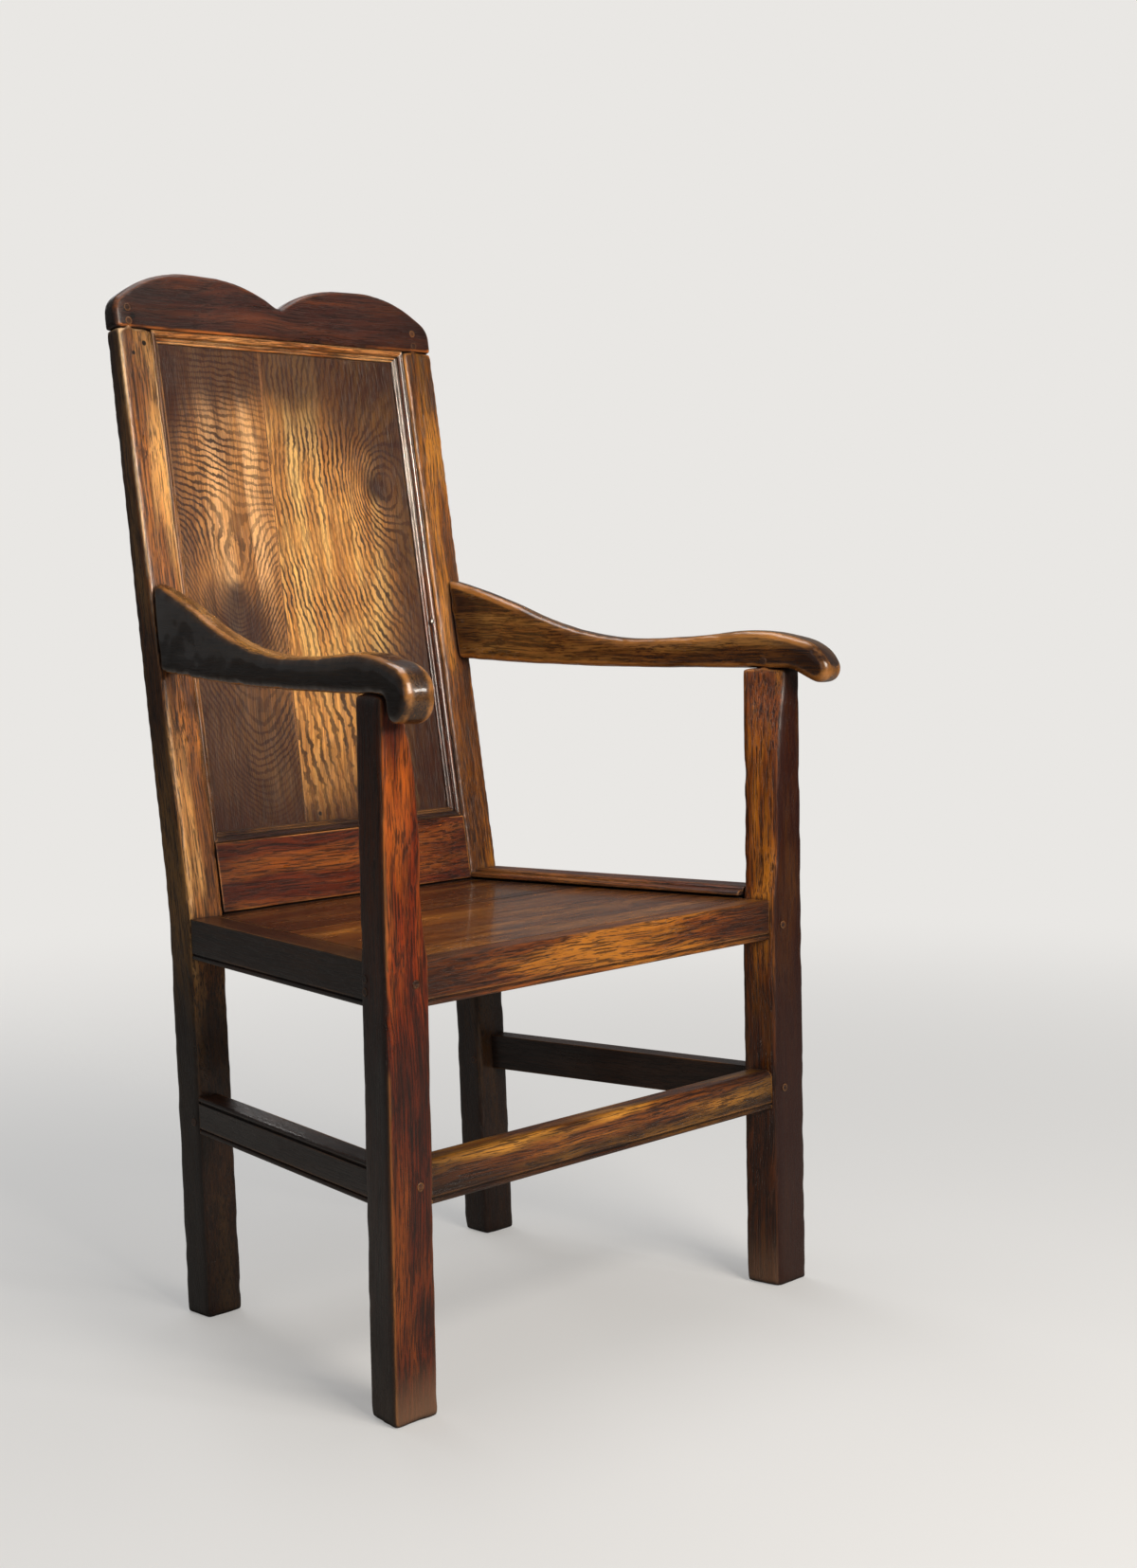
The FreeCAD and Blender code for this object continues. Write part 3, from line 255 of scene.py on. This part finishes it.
def waxed_oak(name, grain, dark, body, gold, offset, streaks=0.5, figure=0.3, pore=0.75, ends=0.5,
              dim_from=0.4, below=0.0, below_span=(0.5, 0.36), foot=0.0, shade=0.5, shaded=(-1, 0, 0),
              shadow="140d0b", wear=0.8, rub="d8924a", rub_and_highlight_from=0.0, polish=0.3, coat=0.1, relief=0.6,
              rounded=False, marks=(), pattern=None):
    """Old oak, planed by hand and waxed. It gives a satin brown with long open pores, black in the hollows
    with painted shade and gathered wax, and light at the rubbed arrises, partly painted highlights.

    grain                  the axis that the grain runs along, and the turn that brings that axis to X
    dark, body, gold       the colours of the fibres in hollows, of the bulk and of the lighter streaks
    offset                 where in the grain the piece was cut, so that no two pieces look the same
    streaks, figure, pore  the strength of the streaks, of the year rings and of the pores
    ends, dim_from         the dark at both ends, and where it starts, as a share of the length from the middle
    below, below_span      the painted shade on the lower part, and the heights between which it comes in
    foot                   the strength of the bare, pale wood near the floor
    shade, shaded, shadow  the strength, direction and colour of darkened faces that look one way: painted
    shade on sides away from the light, and dark old wax wear, rub, rub_and_highlight_from  the strength and
    colour of rubbed arrises, pale ones partly painted highlights, and the height that they start at
    polish, coat, relief   the roughness of the wax, its clear gloss, and the depth of pores and waves
    rounded                true for a worn copy, which has its own attribute for the rubbed arrises
    marks                  nails and nail holes, each with X, Y, Z and radius
    pattern                draws a figure of the piece's own over the plain wood
    """
    wax_in_pores, wax_in_short_pores, corner_shade_and_wax = "180a05", "120806", "0d0705"
    smoked_end, painted_low_shade, bare_foot, nail_black = "1c0e0a", "180a07", "84634c", "080404"
    bends_per_metre, bend_reach = 5.0, 0.02
    arris_width, eased_width, corner_reach, relief_depth = 0.0035, 0.002, 0.014, 0.0009
    axis, turn = grain
    material = bpy.data.materials.new(f"{name}_waxed_oak")
    tree = fresh_tree(material)
    places = add(tree, "TexCoord").outputs
    along = add(tree, "Mapping", {"Vector": places["Object"], "Rotation": turn,
                                  "Location": (offset, offset, offset)})
    bend = add(tree, "TexNoise", {"Vector": along, "Scale": bends_per_metre, "Detail": 2.0}).outputs["Color"]
    bend = add(tree, "VectorMath", [bend, (0.5, 0.5, 0.5)], operation="SUBTRACT")
    run = add(tree, "VectorMath", [bend, (0.0, bend_reach, bend_reach), along], operation="MULTIPLY_ADD")

    # What repeats in the wood, per metre along and across the grain, with its detail and roughness. Real pores
    # are about 0.3 mm wide and fibres finer still. Both are too fine to show, so they are drawn coarser.
    part = {}
    for which, lengthwise, across, detail, roughness in (
            ("fibres", 9, 380, 5.0, 0.7),            # drawn 110 mm long and 2.6 mm wide
            ("pores", 22, 700, 2.0, 0.55),           # drawn 45 mm long and 1.4 mm wide
            ("short_pores", 80, 900, 1.0, 0.55),     # drawn 12 mm long and 1.1 mm wide
            ("rings", 1.3, 11, 2.5, 0.55),           # 90 mm wide, parted below into the year rings
            ("patches", 4, 34, 3.0, 0.55),           # 250 mm long and 30 mm wide
            ("clouds", 9, 34, 4.0, 0.6),             # 110 mm long and 30 mm wide
            ("smears", 6, 8, 2.0, 0.55)):            # 170 mm long and 125 mm wide
        sized = add(tree, "VectorMath", [run, (lengthwise, across, across)], operation="MULTIPLY")
        part[which] = add(tree, "TexNoise", {"Vector": sized, "Scale": 1.0, "Detail": detail,
                                             "Roughness": roughness})
    # Real year rings are 2 to 4 mm wide. They would blur, and are drawn about 9 mm wide.
    half_rings = 24
    bands = add(tree, "Math", [part["rings"], half_rings], operation="MULTIPLY")
    rings = add(tree, "Math", [bands, 1.0], operation="PINGPONG")
    pore_rim, pore_floor = 0.51, 0.58

    colour = laid(tree, linear(dark), body, 1.0, part["fibres"], 0.32, 0.66)
    colour = laid(tree, colour, dark, figure, rings, 0.35, 0.95)
    colour = laid(tree, colour, gold, streaks, part["patches"], 0.45, 0.68)
    colour = laid(tree, colour, dark, 0.6, part["patches"], 0.48, 0.28)
    if pattern:
        colour = pattern(tree, places["Object"], colour)
    colour = laid(tree, colour, wax_in_pores, pore, part["pores"], pore_rim, pore_floor)
    colour = laid(tree, colour, wax_in_short_pores, pore * 0.8, part["short_pores"], 0.6, 0.68)

    # Dark ends, where smoke and wax gathered in the joints, painted shade on the lower part, and a bare foot.
    place_in_length = add(tree, "SeparateXYZ", [places["Generated"]]).outputs[axis]
    middle = add(tree, "Math", [place_in_length, 0.5], operation="SUBTRACT")
    middle = add(tree, "Math", [middle], operation="ABSOLUTE")
    middle = add(tree, "Math", [part["smears"], 0.14, middle], operation="MULTIPLY_ADD")
    colour = laid(tree, colour, smoked_end, ends, middle, dim_from, 0.58)
    height_off = add(tree, "SeparateXYZ", [places["Object"]]).outputs["Z"]
    if below:
        waver = (below_span[0] - below_span[1]) * 0.8
        low_off = add(tree, "Math", [part["smears"], waver, height_off], operation="MULTIPLY_ADD")
        colour = laid(tree, colour, painted_low_shade, below, low_off, *below_span)
    if foot:
        ground_off = add(tree, "Math", [part["smears"], 0.05, place_in_length], operation="MULTIPLY_ADD")
        colour = laid(tree, colour, bare_foot, foot, ground_off, 0.12, 0.02)
    # Painted shade: faces that look the shaded way are darkened, both for sides away from the light and for
    # dark old wax.
    turned = add(tree, "VectorMath", [places["Normal"], shaded], operation="DOT_PRODUCT")
    side_on, face_on, rub_fade = 0.55, 0.93, 0.08
    colour = laid(tree, colour, shadow, shade, turned, side_on, face_on)

    # Rubbed arrises: light where they stand out, patchy, and gone in corners and on the faces with painted
    # shade. Where they are pale and high up, they are painted highlights as well as wear.
    if rounded:
        arris = (add(tree, "Attribute", attribute_name="rubbed").outputs["Fac"], 0.3, 0.85)
    else:
        bevel = add(tree, "Bevel", {"Radius": arris_width}, samples=6)
        square = add(tree, "NewGeometry").outputs["Normal"]
        arris = (add(tree, "VectorMath", [bevel, square], operation="DOT_PRODUCT"), 0.995, 0.86)
    open_air = add(tree, "AmbientOcclusion", {"Distance": corner_reach}, samples=8).outputs["AO"]
    spans = [arris, (part["clouds"], 0.36, 0.58), (open_air, 0.4, 0.7),
             (turned, side_on, face_on, 1.0, 1.0 - shade)]
    if rub_and_highlight_from:
        spans.append((height_off, rub_and_highlight_from - rub_fade, rub_and_highlight_from + rub_fade))
    rubbed = wear
    for span in spans:
        factor = add(tree, "MapRange", span, interpolation_type="SMOOTHSTEP")
        rubbed = add(tree, "Math", [factor, rubbed], operation="MULTIPLY")
    colour = add(tree, "Mix", [rubbed, colour, linear(rub)], data_type="RGBA")
    # Painted shade in the corners and between parts, taken from the ambient occlusion, together with the wax
    # gathered there.
    closed, deep = 0.8, 0.3
    colour = laid(tree, colour, corner_shade_and_wax, 0.85, open_air, closed, deep)
    for *spot, radius in marks:
        off = add(tree, "VectorMath", [places["Object"], spot], operation="DISTANCE")
        colour = laid(tree, colour, nail_black, 1.0, off, radius * 1.25, radius * 0.8)

    # The wax skin: smooth over the raised wood, dull in the hollows, and sunk into the pores.
    height = add(tree, "Math", [part["fibres"], 0.4, part["clouds"]], operation="MULTIPLY_ADD")
    sunk = add(tree, "MapRange", [part["pores"], pore_rim, pore_floor], interpolation_type="SMOOTHSTEP")
    height = add(tree, "Math", [sunk, -0.5, height], operation="MULTIPLY_ADD")
    skin = {"Height": height, "Distance": relief_depth, "Strength": relief}
    if not rounded:
        skin["Normal"] = add(tree, "Bevel", {"Radius": eased_width}, samples=6)
    bump = add(tree, "Bump", skin)
    rough = add(tree, "MapRange", [part["clouds"], 0.3, 0.7, polish - 0.05, polish + 0.12])
    hollows = add(tree, "MapRange", [open_air, closed, deep], interpolation_type="SMOOTHSTEP")
    rough = add(tree, "Mix", [hollows, rough, 0.8])
    wood = add(tree, "BsdfPrincipled", {"Base Color": colour, "Roughness": rough, "IOR": 1.45, "Normal": bump,
                                        "Coat Weight": coat, "Coat Roughness": 0.06})
    add(tree, "OutputMaterial", {"Surface": wood})
    return material


worn("front_post_left", POST_CELL, POST_RUBS, POST_SWAY,
     waxed_oak("front_post_left", UPRIGHT, "2c0a03", "88300a", "d87020", offset=0.3, shade=0.85, ends=0.3,
               foot=0.7, below=0.5, wear=0.3, rounded=True))
worn("front_post_right", POST_CELL, POST_RUBS, POST_SWAY,
     waxed_oak("front_post_right", UPRIGHT, "3a1606", "9c5014", "e8942c", offset=1.7, streaks=0.7, shade=0.92,
               shadow="260803", shaded=(0, -1, 0), ends=0.35, foot=0.5, below=0.7, wear=0.4, rub_and_highlight_from=0.6,
               rounded=True))


# Rear stiles: leg and back post in one piece of oak, sawn with a bend at the seat, so that the grain of the
# upper part leans with it. They are rounded at the arrises by wear, and two old nail holes show on the left.

LEANING = ("Z", (math.radians(9), math.radians(90), 0))
STILE_CELL = 0.0022
STILE_RUBS = 10
STILE_SWAY = 0.0005
# Painted shade darkens both stiles under the seat and the left stile's left side; the pale rubbed arris high
# on the left stile is partly a painted highlight.
worn("rear_stile_left", STILE_CELL, STILE_RUBS, STILE_SWAY,
     waxed_oak("rear_stile_left", LEANING, "4c260f", "c07836", "ffc070", offset=2.4, streaks=0.75, shade=0.75,
               rub="ffd8a8", ends=0.6, below=0.9, rub_and_highlight_from=0.75, rounded=True,
               marks=((-0.1994, 0.2600, 1.0506, 0.0028), (-0.2148, 0.2582, 1.0392, 0.0022))))
worn("rear_stile_right", STILE_CELL, STILE_RUBS, STILE_SWAY,
     waxed_oak("rear_stile_right", LEANING, "3a1c0a", "9a5a1a", "e49a34", offset=3.9, streaks=0.8, shade=0.1,
               ends=0.6, below=0.92, rub_and_highlight_from=0.7, rounded=True))


# Seat rails and stretchers: oak, planed, with a scratched bead along the lower edge, and tenoned and pegged
# into the posts and stiles. The front stretcher is golden on its upper half and darkened with painted shade
# below.

ACROSS = ("X", (0, 0, 0))


def along_side(side):
    """The grain of a piece that runs along a side of the seat, 10 degrees off the chair's own line."""
    return ("Y", (0, 0, math.radians(-90 + (10 if side == "left" else -10))))


def paint(material, *names):
    """Give a material to nodes whose shape stays as it is."""
    for name in names:
        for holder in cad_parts[name].material_slots:
            holder.material = material


paint(waxed_oak("front_seat_rail", ACROSS, "34140a", "8c4818", "e09030", offset=5.1, streaks=0.6, ends=0.75,
                dim_from=0.3, wear=0.4),
      "front_seat_rail", "rear_seat_rail")
stretcher_low, stretcher_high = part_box("front_stretcher")
stretcher_middle = (stretcher_low[2] + stretcher_high[2]) / 2
paint(waxed_oak("front_stretcher", ACROSS, "2c1209", "8e4e1c", "f0a840", offset=6.3, streaks=0.7, ends=0.85,
                dim_from=0.28, shade=0.0, below=0.75,
                below_span=(stretcher_middle + 0.006, stretcher_middle - 0.004), wear=0.5),
      "front_stretcher")
# The faces of the side rails and stretchers that look to the left are darkened with painted shade.
for side, offset, shade in (("left", 7.7, 0.7), ("right", 8.2, 0.8)):
    paint(waxed_oak(f"side_rail_{side}", along_side(side), "1e0f0b", "4c2a1c", "8a5a36", offset=offset,
                    streaks=0.25, shade=shade, ends=0.4),
          f"side_seat_rail_{side}", f"side_stretcher_{side}")


# Seat: two flat oak boards that run across, polished by use to a golden brown, and a moulded strip on the
# right-hand rail. A loose tongue lies in the joint of the boards, so that no light falls through it; its
# near-black colour is painted shade for the joint.

paint(waxed_oak("seat_board_front", ACROSS, "4a240c", "9c5c24", "dc9038", offset=9.4, polish=0.2, coat=0.25,
                wear=0.3, relief=0.35),
      "seat_board_front")
paint(waxed_oak("seat_board_rear", ACROSS, "34190d", "6c3e1f", "986430", offset=10.8, polish=0.22, coat=0.25,
                wear=0.3, relief=0.35),
      "seat_board_rear")
paint(waxed_oak("seat_border", along_side("right"), "34140a", "8a4420", "c07c38", offset=11.2, polish=0.25),
      "seat_border_right")

EASED = 0.0002
JOINED = 0.00001
LOOKS_ASIDE = 0.8
SMALLEST_EDGE = 0.001


def drawn_out(shape, faces, way):
    """Draw a flat face out into a solid and ease all its edges."""
    grown = bmesh.ops.extrude_face_region(shape, geom=faces)["geom"]
    bmesh.ops.translate(shape, vec=way, verts=[part for part in grown if isinstance(part, bmesh.types.BMVert)])
    bmesh.ops.recalc_face_normals(shape, faces=shape.faces)
    bmesh.ops.bevel(shape, geom=shape.edges[:], offset=EASED, segments=1, affect="EDGES")


def gap_shade_oak(name, offset):
    """Oak that no hand reaches, sawn and left near black, as painted shade for the gaps that it fills. Nothing
    on it is rubbed or polished bright.
    """
    return waxed_oak(name, ACROSS, "140a06", "2c1a10", "4a2e1c", offset=offset, ends=0.0, shade=0.0, wear=0.0)


def tongue(name, board, side, reach, inset):
    """A loose tongue in the joint of a board.

    It starts from the board's own edge, which is the one large face that looks to that side, stays an inset
    smaller than that edge, and reaches into the next board.
    """
    shape = bmesh.new()
    shape.from_mesh(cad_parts[board].data)
    away = [face for face in shape.faces
            if face.normal.dot(Vector(side)) < LOOKS_ASIDE or face.calc_area() < SMALLEST_EDGE]
    bmesh.ops.delete(shape, geom=away, context="FACES")
    bmesh.ops.remove_doubles(shape, verts=shape.verts, dist=JOINED)
    rim = bmesh.ops.inset_region(shape, faces=shape.faces[:], thickness=inset)["faces"]
    bmesh.ops.delete(shape, geom=rim, context="FACES")
    drawn_out(shape, shape.faces[:], Vector(side) * reach)
    piece = placed(name, shape)
    piece.data.materials.append(gap_shade_oak(name, offset=25.5))
    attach(piece, "root")


tongue("seat_joint_tongue", "seat_board_front", (0, 1, 0), reach=0.003, inset=0.004)


# Fillet behind the seat: a hidden strip of sawn oak, let in between the seat, the rear seat rail and the lower
# back rail. It closes the slot there, which is a black line on the real chair, and its near-black colour is
# painted shade for that line.

FILLET_END = ((0.1739, 0.4162), (0.1845, 0.4162), (0.1845, 0.4288), (0.1739, 0.4305))
FILLET_FROM = -0.1853
FILLET_LENGTH = 0.3687
shape = bmesh.new()
end = shape.faces.new([shape.verts.new((FILLET_FROM, deep, tall)) for deep, tall in FILLET_END])
drawn_out(shape, [end], (FILLET_LENGTH, 0, 0))
fillet = placed("seat_fillet", shape)
fillet.data.materials.append(gap_shade_oak("seat_fillet", offset=26.5))
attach(fillet, "root")


# Back panel: two upright boards of wild-grained oak, planed and set in a groove, golden brown with a dark
# rippling figure round the knots, and darkened with painted shade towards the borders. A loose tongue lies in
# the leaning joint, near black as painted shade for it.

PANEL_MIDDLE = (-0.014, 0.75)
PANEL_HALF = (0.184, 0.262)
RIPPLE, STAIN, BORDER_SHADE = "2e1408", "2c0e04", "341303"
KNOT_HEART, CRACK = "24120a", "140a06"


def rippled(knots, slopes, waves, stains, cracks=()):
    """A figure of dark ripples, 7 to 13 mm apart and closer round the knots. Half a ripple is the unit.

    knots   the place, the reach, the rings, and how much of the height counts: less gives a taller knot
    slopes  how many there are per metre along X and along Z
    waves   how many the broad bends of the grain shift the figure by
    stains  the place, the reach and the strength
    cracks  the upper and the lower end, each an X and a Z
    """
    def draw(tree, place, colour):
        warp = add(tree, "TexNoise", {"Vector": place, "Scale": 8.0, "Detail": 1.5})
        fine_warp = add(tree, "TexNoise", {"Vector": place, "Scale": 60.0, "Detail": 2.0})
        zones = add(tree, "TexNoise", {"Vector": place, "Scale": 14.0, "Detail": 2.0})
        spread = add(tree, "SeparateXYZ", [place]).outputs
        field = add(tree, "Math", [warp, waves], operation="MULTIPLY")
        for source, slope in ((fine_warp, 2.5), (spread["X"], slopes[0]), (spread["Z"], slopes[1])):
            field = add(tree, "Math", [source, slope, field], operation="MULTIPLY_ADD")
        for spot, size, rings, tall in knots:
            off = add(tree, "VectorMath", [place, spot], operation="SUBTRACT")
            off = add(tree, "VectorMath", [off, (1.15, 0.2, tall)], operation="MULTIPLY")
            off = add(tree, "VectorMath", [off], operation="LENGTH")
            bell = add(tree, "MapRange", [off, size, 0.0], interpolation_type="SMOOTHSTEP")
            field = add(tree, "Math", [bell, rings, field], operation="MULTIPLY_ADD")
        lines = add(tree, "Math", [field, 1.0], operation="PINGPONG")
        # Flecks break the lines up. They are 3.3 mm wide, for the real ones are too fine to show.
        flecks = add(tree, "VectorMath", [place, (300, 300, 150)], operation="MULTIPLY")
        flecks = add(tree, "TexNoise", {"Vector": flecks, "Scale": 1.0, "Detail": 2.0})
        lines = add(tree, "Math", [flecks, 0.9, lines], operation="MULTIPLY_ADD")
        share = add(tree, "MapRange", [zones, 0.35, 0.62, 0.45, 0.95])
        colour = laid(tree, colour, RIPPLE, share, lines, 0.94, 1.16)
        for spot, size, rings, tall in knots:
            off = add(tree, "VectorMath", [place, spot], operation="DISTANCE")
            colour = laid(tree, colour, KNOT_HEART, 0.75, off, 0.022, 0.004)
        for (top_x, top_z), (low_x, low_z) in cracks:
            lean = (top_x - low_x) / (top_z - low_z)
            off = add(tree, "Math", [spread["Z"], lean, low_x - low_z * lean], operation="MULTIPLY_ADD")
            off = add(tree, "Math", [spread["X"], off], operation="SUBTRACT")
            off = add(tree, "Math", [off], operation="ABSOLUTE")
            share = 0.8
            for end, inward in ((top_z, -0.01), (low_z, 0.01)):
                inside = add(tree, "MapRange", [spread["Z"], end, end + inward],
                             interpolation_type="SMOOTHSTEP")
                share = add(tree, "Math", [inside, share], operation="MULTIPLY")
            colour = laid(tree, colour, CRACK, share, off, 0.0013, 0.0005)
        wander = add(tree, "Math", [warp, 0.5, -0.42], operation="MULTIPLY_ADD")
        wander = add(tree, "Math", [zones, 0.34, wander], operation="MULTIPLY_ADD")
        for spot, size, share in stains:
            off = add(tree, "VectorMath", [place, spot], operation="DISTANCE")
            off = add(tree, "Math", [wander, 0.15, off], operation="MULTIPLY_ADD")
            colour = laid(tree, colour, STAIN, share, off, size, size * 0.3)
        # Painted shade: the panel darkens towards its borders, around a lit middle a little left of centre.
        for letter, centre, half in zip("XZ", PANEL_MIDDLE, PANEL_HALF):
            off = add(tree, "Math", [spread[letter], centre], operation="SUBTRACT")
            off = add(tree, "Math", [off], operation="ABSOLUTE")
            off = add(tree, "Math", [off, 1 / half, wander], operation="MULTIPLY_ADD")
            colour = laid(tree, colour, BORDER_SHADE, 0.88, off, 0.58, 1.02)
        return colour
    return draw


paint(waxed_oak("panel_board_left", LEANING, "845428", "cc9250", "ffcc90", offset=12.5, streaks=0.6,
                figure=0.0, pore=0.4, polish=0.34, coat=0.05, ends=0.0, shade=0.0,
                pattern=rippled(
                    knots=(((-0.105, 0.228, 0.775), 0.10, 24, 0.8), ((-0.1, 0.21, 0.56), 0.14, 26, 0.55)),
                    slopes=(50, 270), waves=12,
                    stains=(((-0.118, 0.225, 0.728), 0.075, 0.9), ((-0.13, 0.21, 0.58), 0.24, 0.82)))),
      "back_panel_board_left")
paint(waxed_oak("panel_board_right", LEANING, "98602a", "dca052", "ffd484", offset=14.1, streaks=0.65,
                figure=0.0, pore=0.4, polish=0.34, coat=0.05, ends=0.0, shade=0.0,
                pattern=rippled(
                    knots=(((0.122, 0.25, 0.90), 0.26, 22, 0.75), ((0.125, 0.25, 0.9), 0.07, 12, 0.9)),
                    slopes=(150, 12), waves=10,
                    stains=(((0.14, 0.26, 0.98), 0.1, 0.6), ((0.13, 0.25, 0.9), 0.05, 0.6),
                            ((0.2, 0.21, 0.61), 0.21, 0.9), ((0.06, 0.19, 0.44), 0.16, 0.85)),
                    cracks=(((0.128, 1.048), (0.085, 0.949)), ((0.159, 0.587), (0.131, 0.522)))),
                marks=((-0.025, 0.1885, 0.525, 0.0028),)),
      "back_panel_board_right")
tongue("panel_joint_tongue", "back_panel_board_left", (1, 0, 0), reach=0.0016, inset=0.002)


# Panel moulding: four mitred lengths of oak with a scratched bead and two reeds, nailed to the frame. The top
# one is bright, the lower one black with wax, and the right-hand one the glossiest, with near-white lines on
# its upper reeds painted as highlights.

paint(waxed_oak("panel_moulding_top", ACROSS, "5a260c", "c87836", "ffc078", offset=15.7, polish=0.22,
                ends=0.15, rub="ffc888"),
      "panel_moulding_top")
paint(waxed_oak("panel_moulding_bottom", ACROSS, "1c0f0a", "38201a", "6a4630", offset=16.1, streaks=0.2,
                wear=0.5),
      "panel_moulding_bottom")
paint(waxed_oak("panel_moulding_left", LEANING, "34180c", "7a481f", "c88848", offset=16.9, polish=0.25,
                streaks=0.4, ends=0.6, shade=0.0, rub="d89850", wear=0.6),
      "panel_moulding_left")
# Painted highlight: near-white lines on the reeds above 0.84 m.
paint(waxed_oak("panel_moulding_right", LEANING, "30140b", "743c20", "b87848", offset=17.4, polish=0.16,
                streaks=0.3, ends=0.3, shade=0.0, rub="fff4e6", rub_and_highlight_from=0.84, coat=1.0, wear=1.0),
      "panel_moulding_right")


# Crest rail and lower back rail: oak, pegged to the stiles. The crest is sawn to a double arch, and is a dark
# purplish brown with a rubbed orange top edge and faint old nail holes at its left end.

CREST_CELL = 0.002
CREST_RUBS = 10
CREST_SWAY = 0.0004
worn("crest_rail", CREST_CELL, CREST_RUBS, CREST_SWAY,
     waxed_oak("crest_rail", ACROSS, "260f0c", "4e281c", "a05528", offset=18.3, streaks=0.2, dim_from=0.25,
               shade=0.7, rub="d87c34", rounded=True,
               marks=((-0.2100, 0.2647, 1.0800, 0.0032), (-0.2204, 0.2655, 1.0854, 0.0016))))
paint(waxed_oak("back_lower_rail", ACROSS, "340d04", "702c0e", "bc6c28", offset=19.8, dim_from=0.33),
      "back_lower_rail")


# Arms: sawn from thick oak to an S with a scroll in front, tenoned into the stiles, pegged on the posts, and
# rounded by hands to a golden, glossy surface.

ARM_CELL = 0.002
ARM_RUBS = 24
ARM_SWAY = 0.0006
# The left arm's outer side is darkened with painted shade.
for side, offset, shade in (("left", 21.4, 0.9), ("right", 22.6, 0.0)):
    worn(f"arm_{side}", ARM_CELL, ARM_RUBS, ARM_SWAY,
         waxed_oak(f"arm_{side}", along_side(side), "341a0c", "865424", "d0964c", offset=offset, polish=0.2,
                   shade=shade, ends=0.8, dim_from=0.34, coat=0.6, wear=0.5, relief=0.2, rounded=True))


# Pegs: cleft oak pins, driven through the joints and cut off flush. Their end grain is as dark as the wood
# round it.

paint(waxed_oak("peg", ACROSS, "241009", "4a2a1a", "7a4c2c", offset=24.0, ends=0.0, wear=0.3), *PEG_GROUPS)


# Nail: one domed steel nail, 5.6 mm across, driven into the right-hand moulding where it was mended. Rubbing
# has kept its head bright.

NAIL_DOME = ((0.0026, 0.0010), (0.0028, 0.0002), (0.0027, -0.0004), (0.0021, -0.0010), (0.0011, -0.0014),
             (0.0, -0.0015))
NAIL_PLACE = (0.1763, 0.2130, 0.7389)
NAIL_STEPS = 24
GRIME_PER_METRE = 900.0
shape = bmesh.new()
points = [shape.verts.new((out, deep, 0)) for out, deep in NAIL_DOME]
outline = [shape.edges.new(pair) for pair in zip(points, points[1:])]
bmesh.ops.spin(shape, geom=points + outline, cent=(0, 0, 0), axis=(0, 1, 0), angle=math.tau,
               steps=NAIL_STEPS)
bmesh.ops.remove_doubles(shape, verts=shape.verts, dist=JOINED)
bmesh.ops.holes_fill(shape, edges=[edge for edge in shape.edges if edge.is_boundary])
bmesh.ops.recalc_face_normals(shape, faces=shape.faces)
bmesh.ops.translate(shape, vec=NAIL_PLACE, verts=shape.verts)
nail = placed("moulding_nail", shape)
nail.data.shade_smooth()

# Steel, rubbed bright, with patches of grime about 1 mm across.
steel = bpy.data.materials.new("moulding_nail_rubbed_steel")
tree = fresh_tree(steel)
grime = add(tree, "TexNoise", {"Vector": add(tree, "TexCoord").outputs["Object"], "Scale": GRIME_PER_METRE})
tint = add(tree, "Mix", [grime, linear("e8e6e2"), linear("b8b2aa")], data_type="RGBA")
metal = add(tree, "BsdfPrincipled", {"Base Color": tint, "Metallic": 1.0, "Roughness": 0.35})
add(tree, "OutputMaterial", {"Surface": metal})
nail.data.materials.append(steel)
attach(nail, "root")
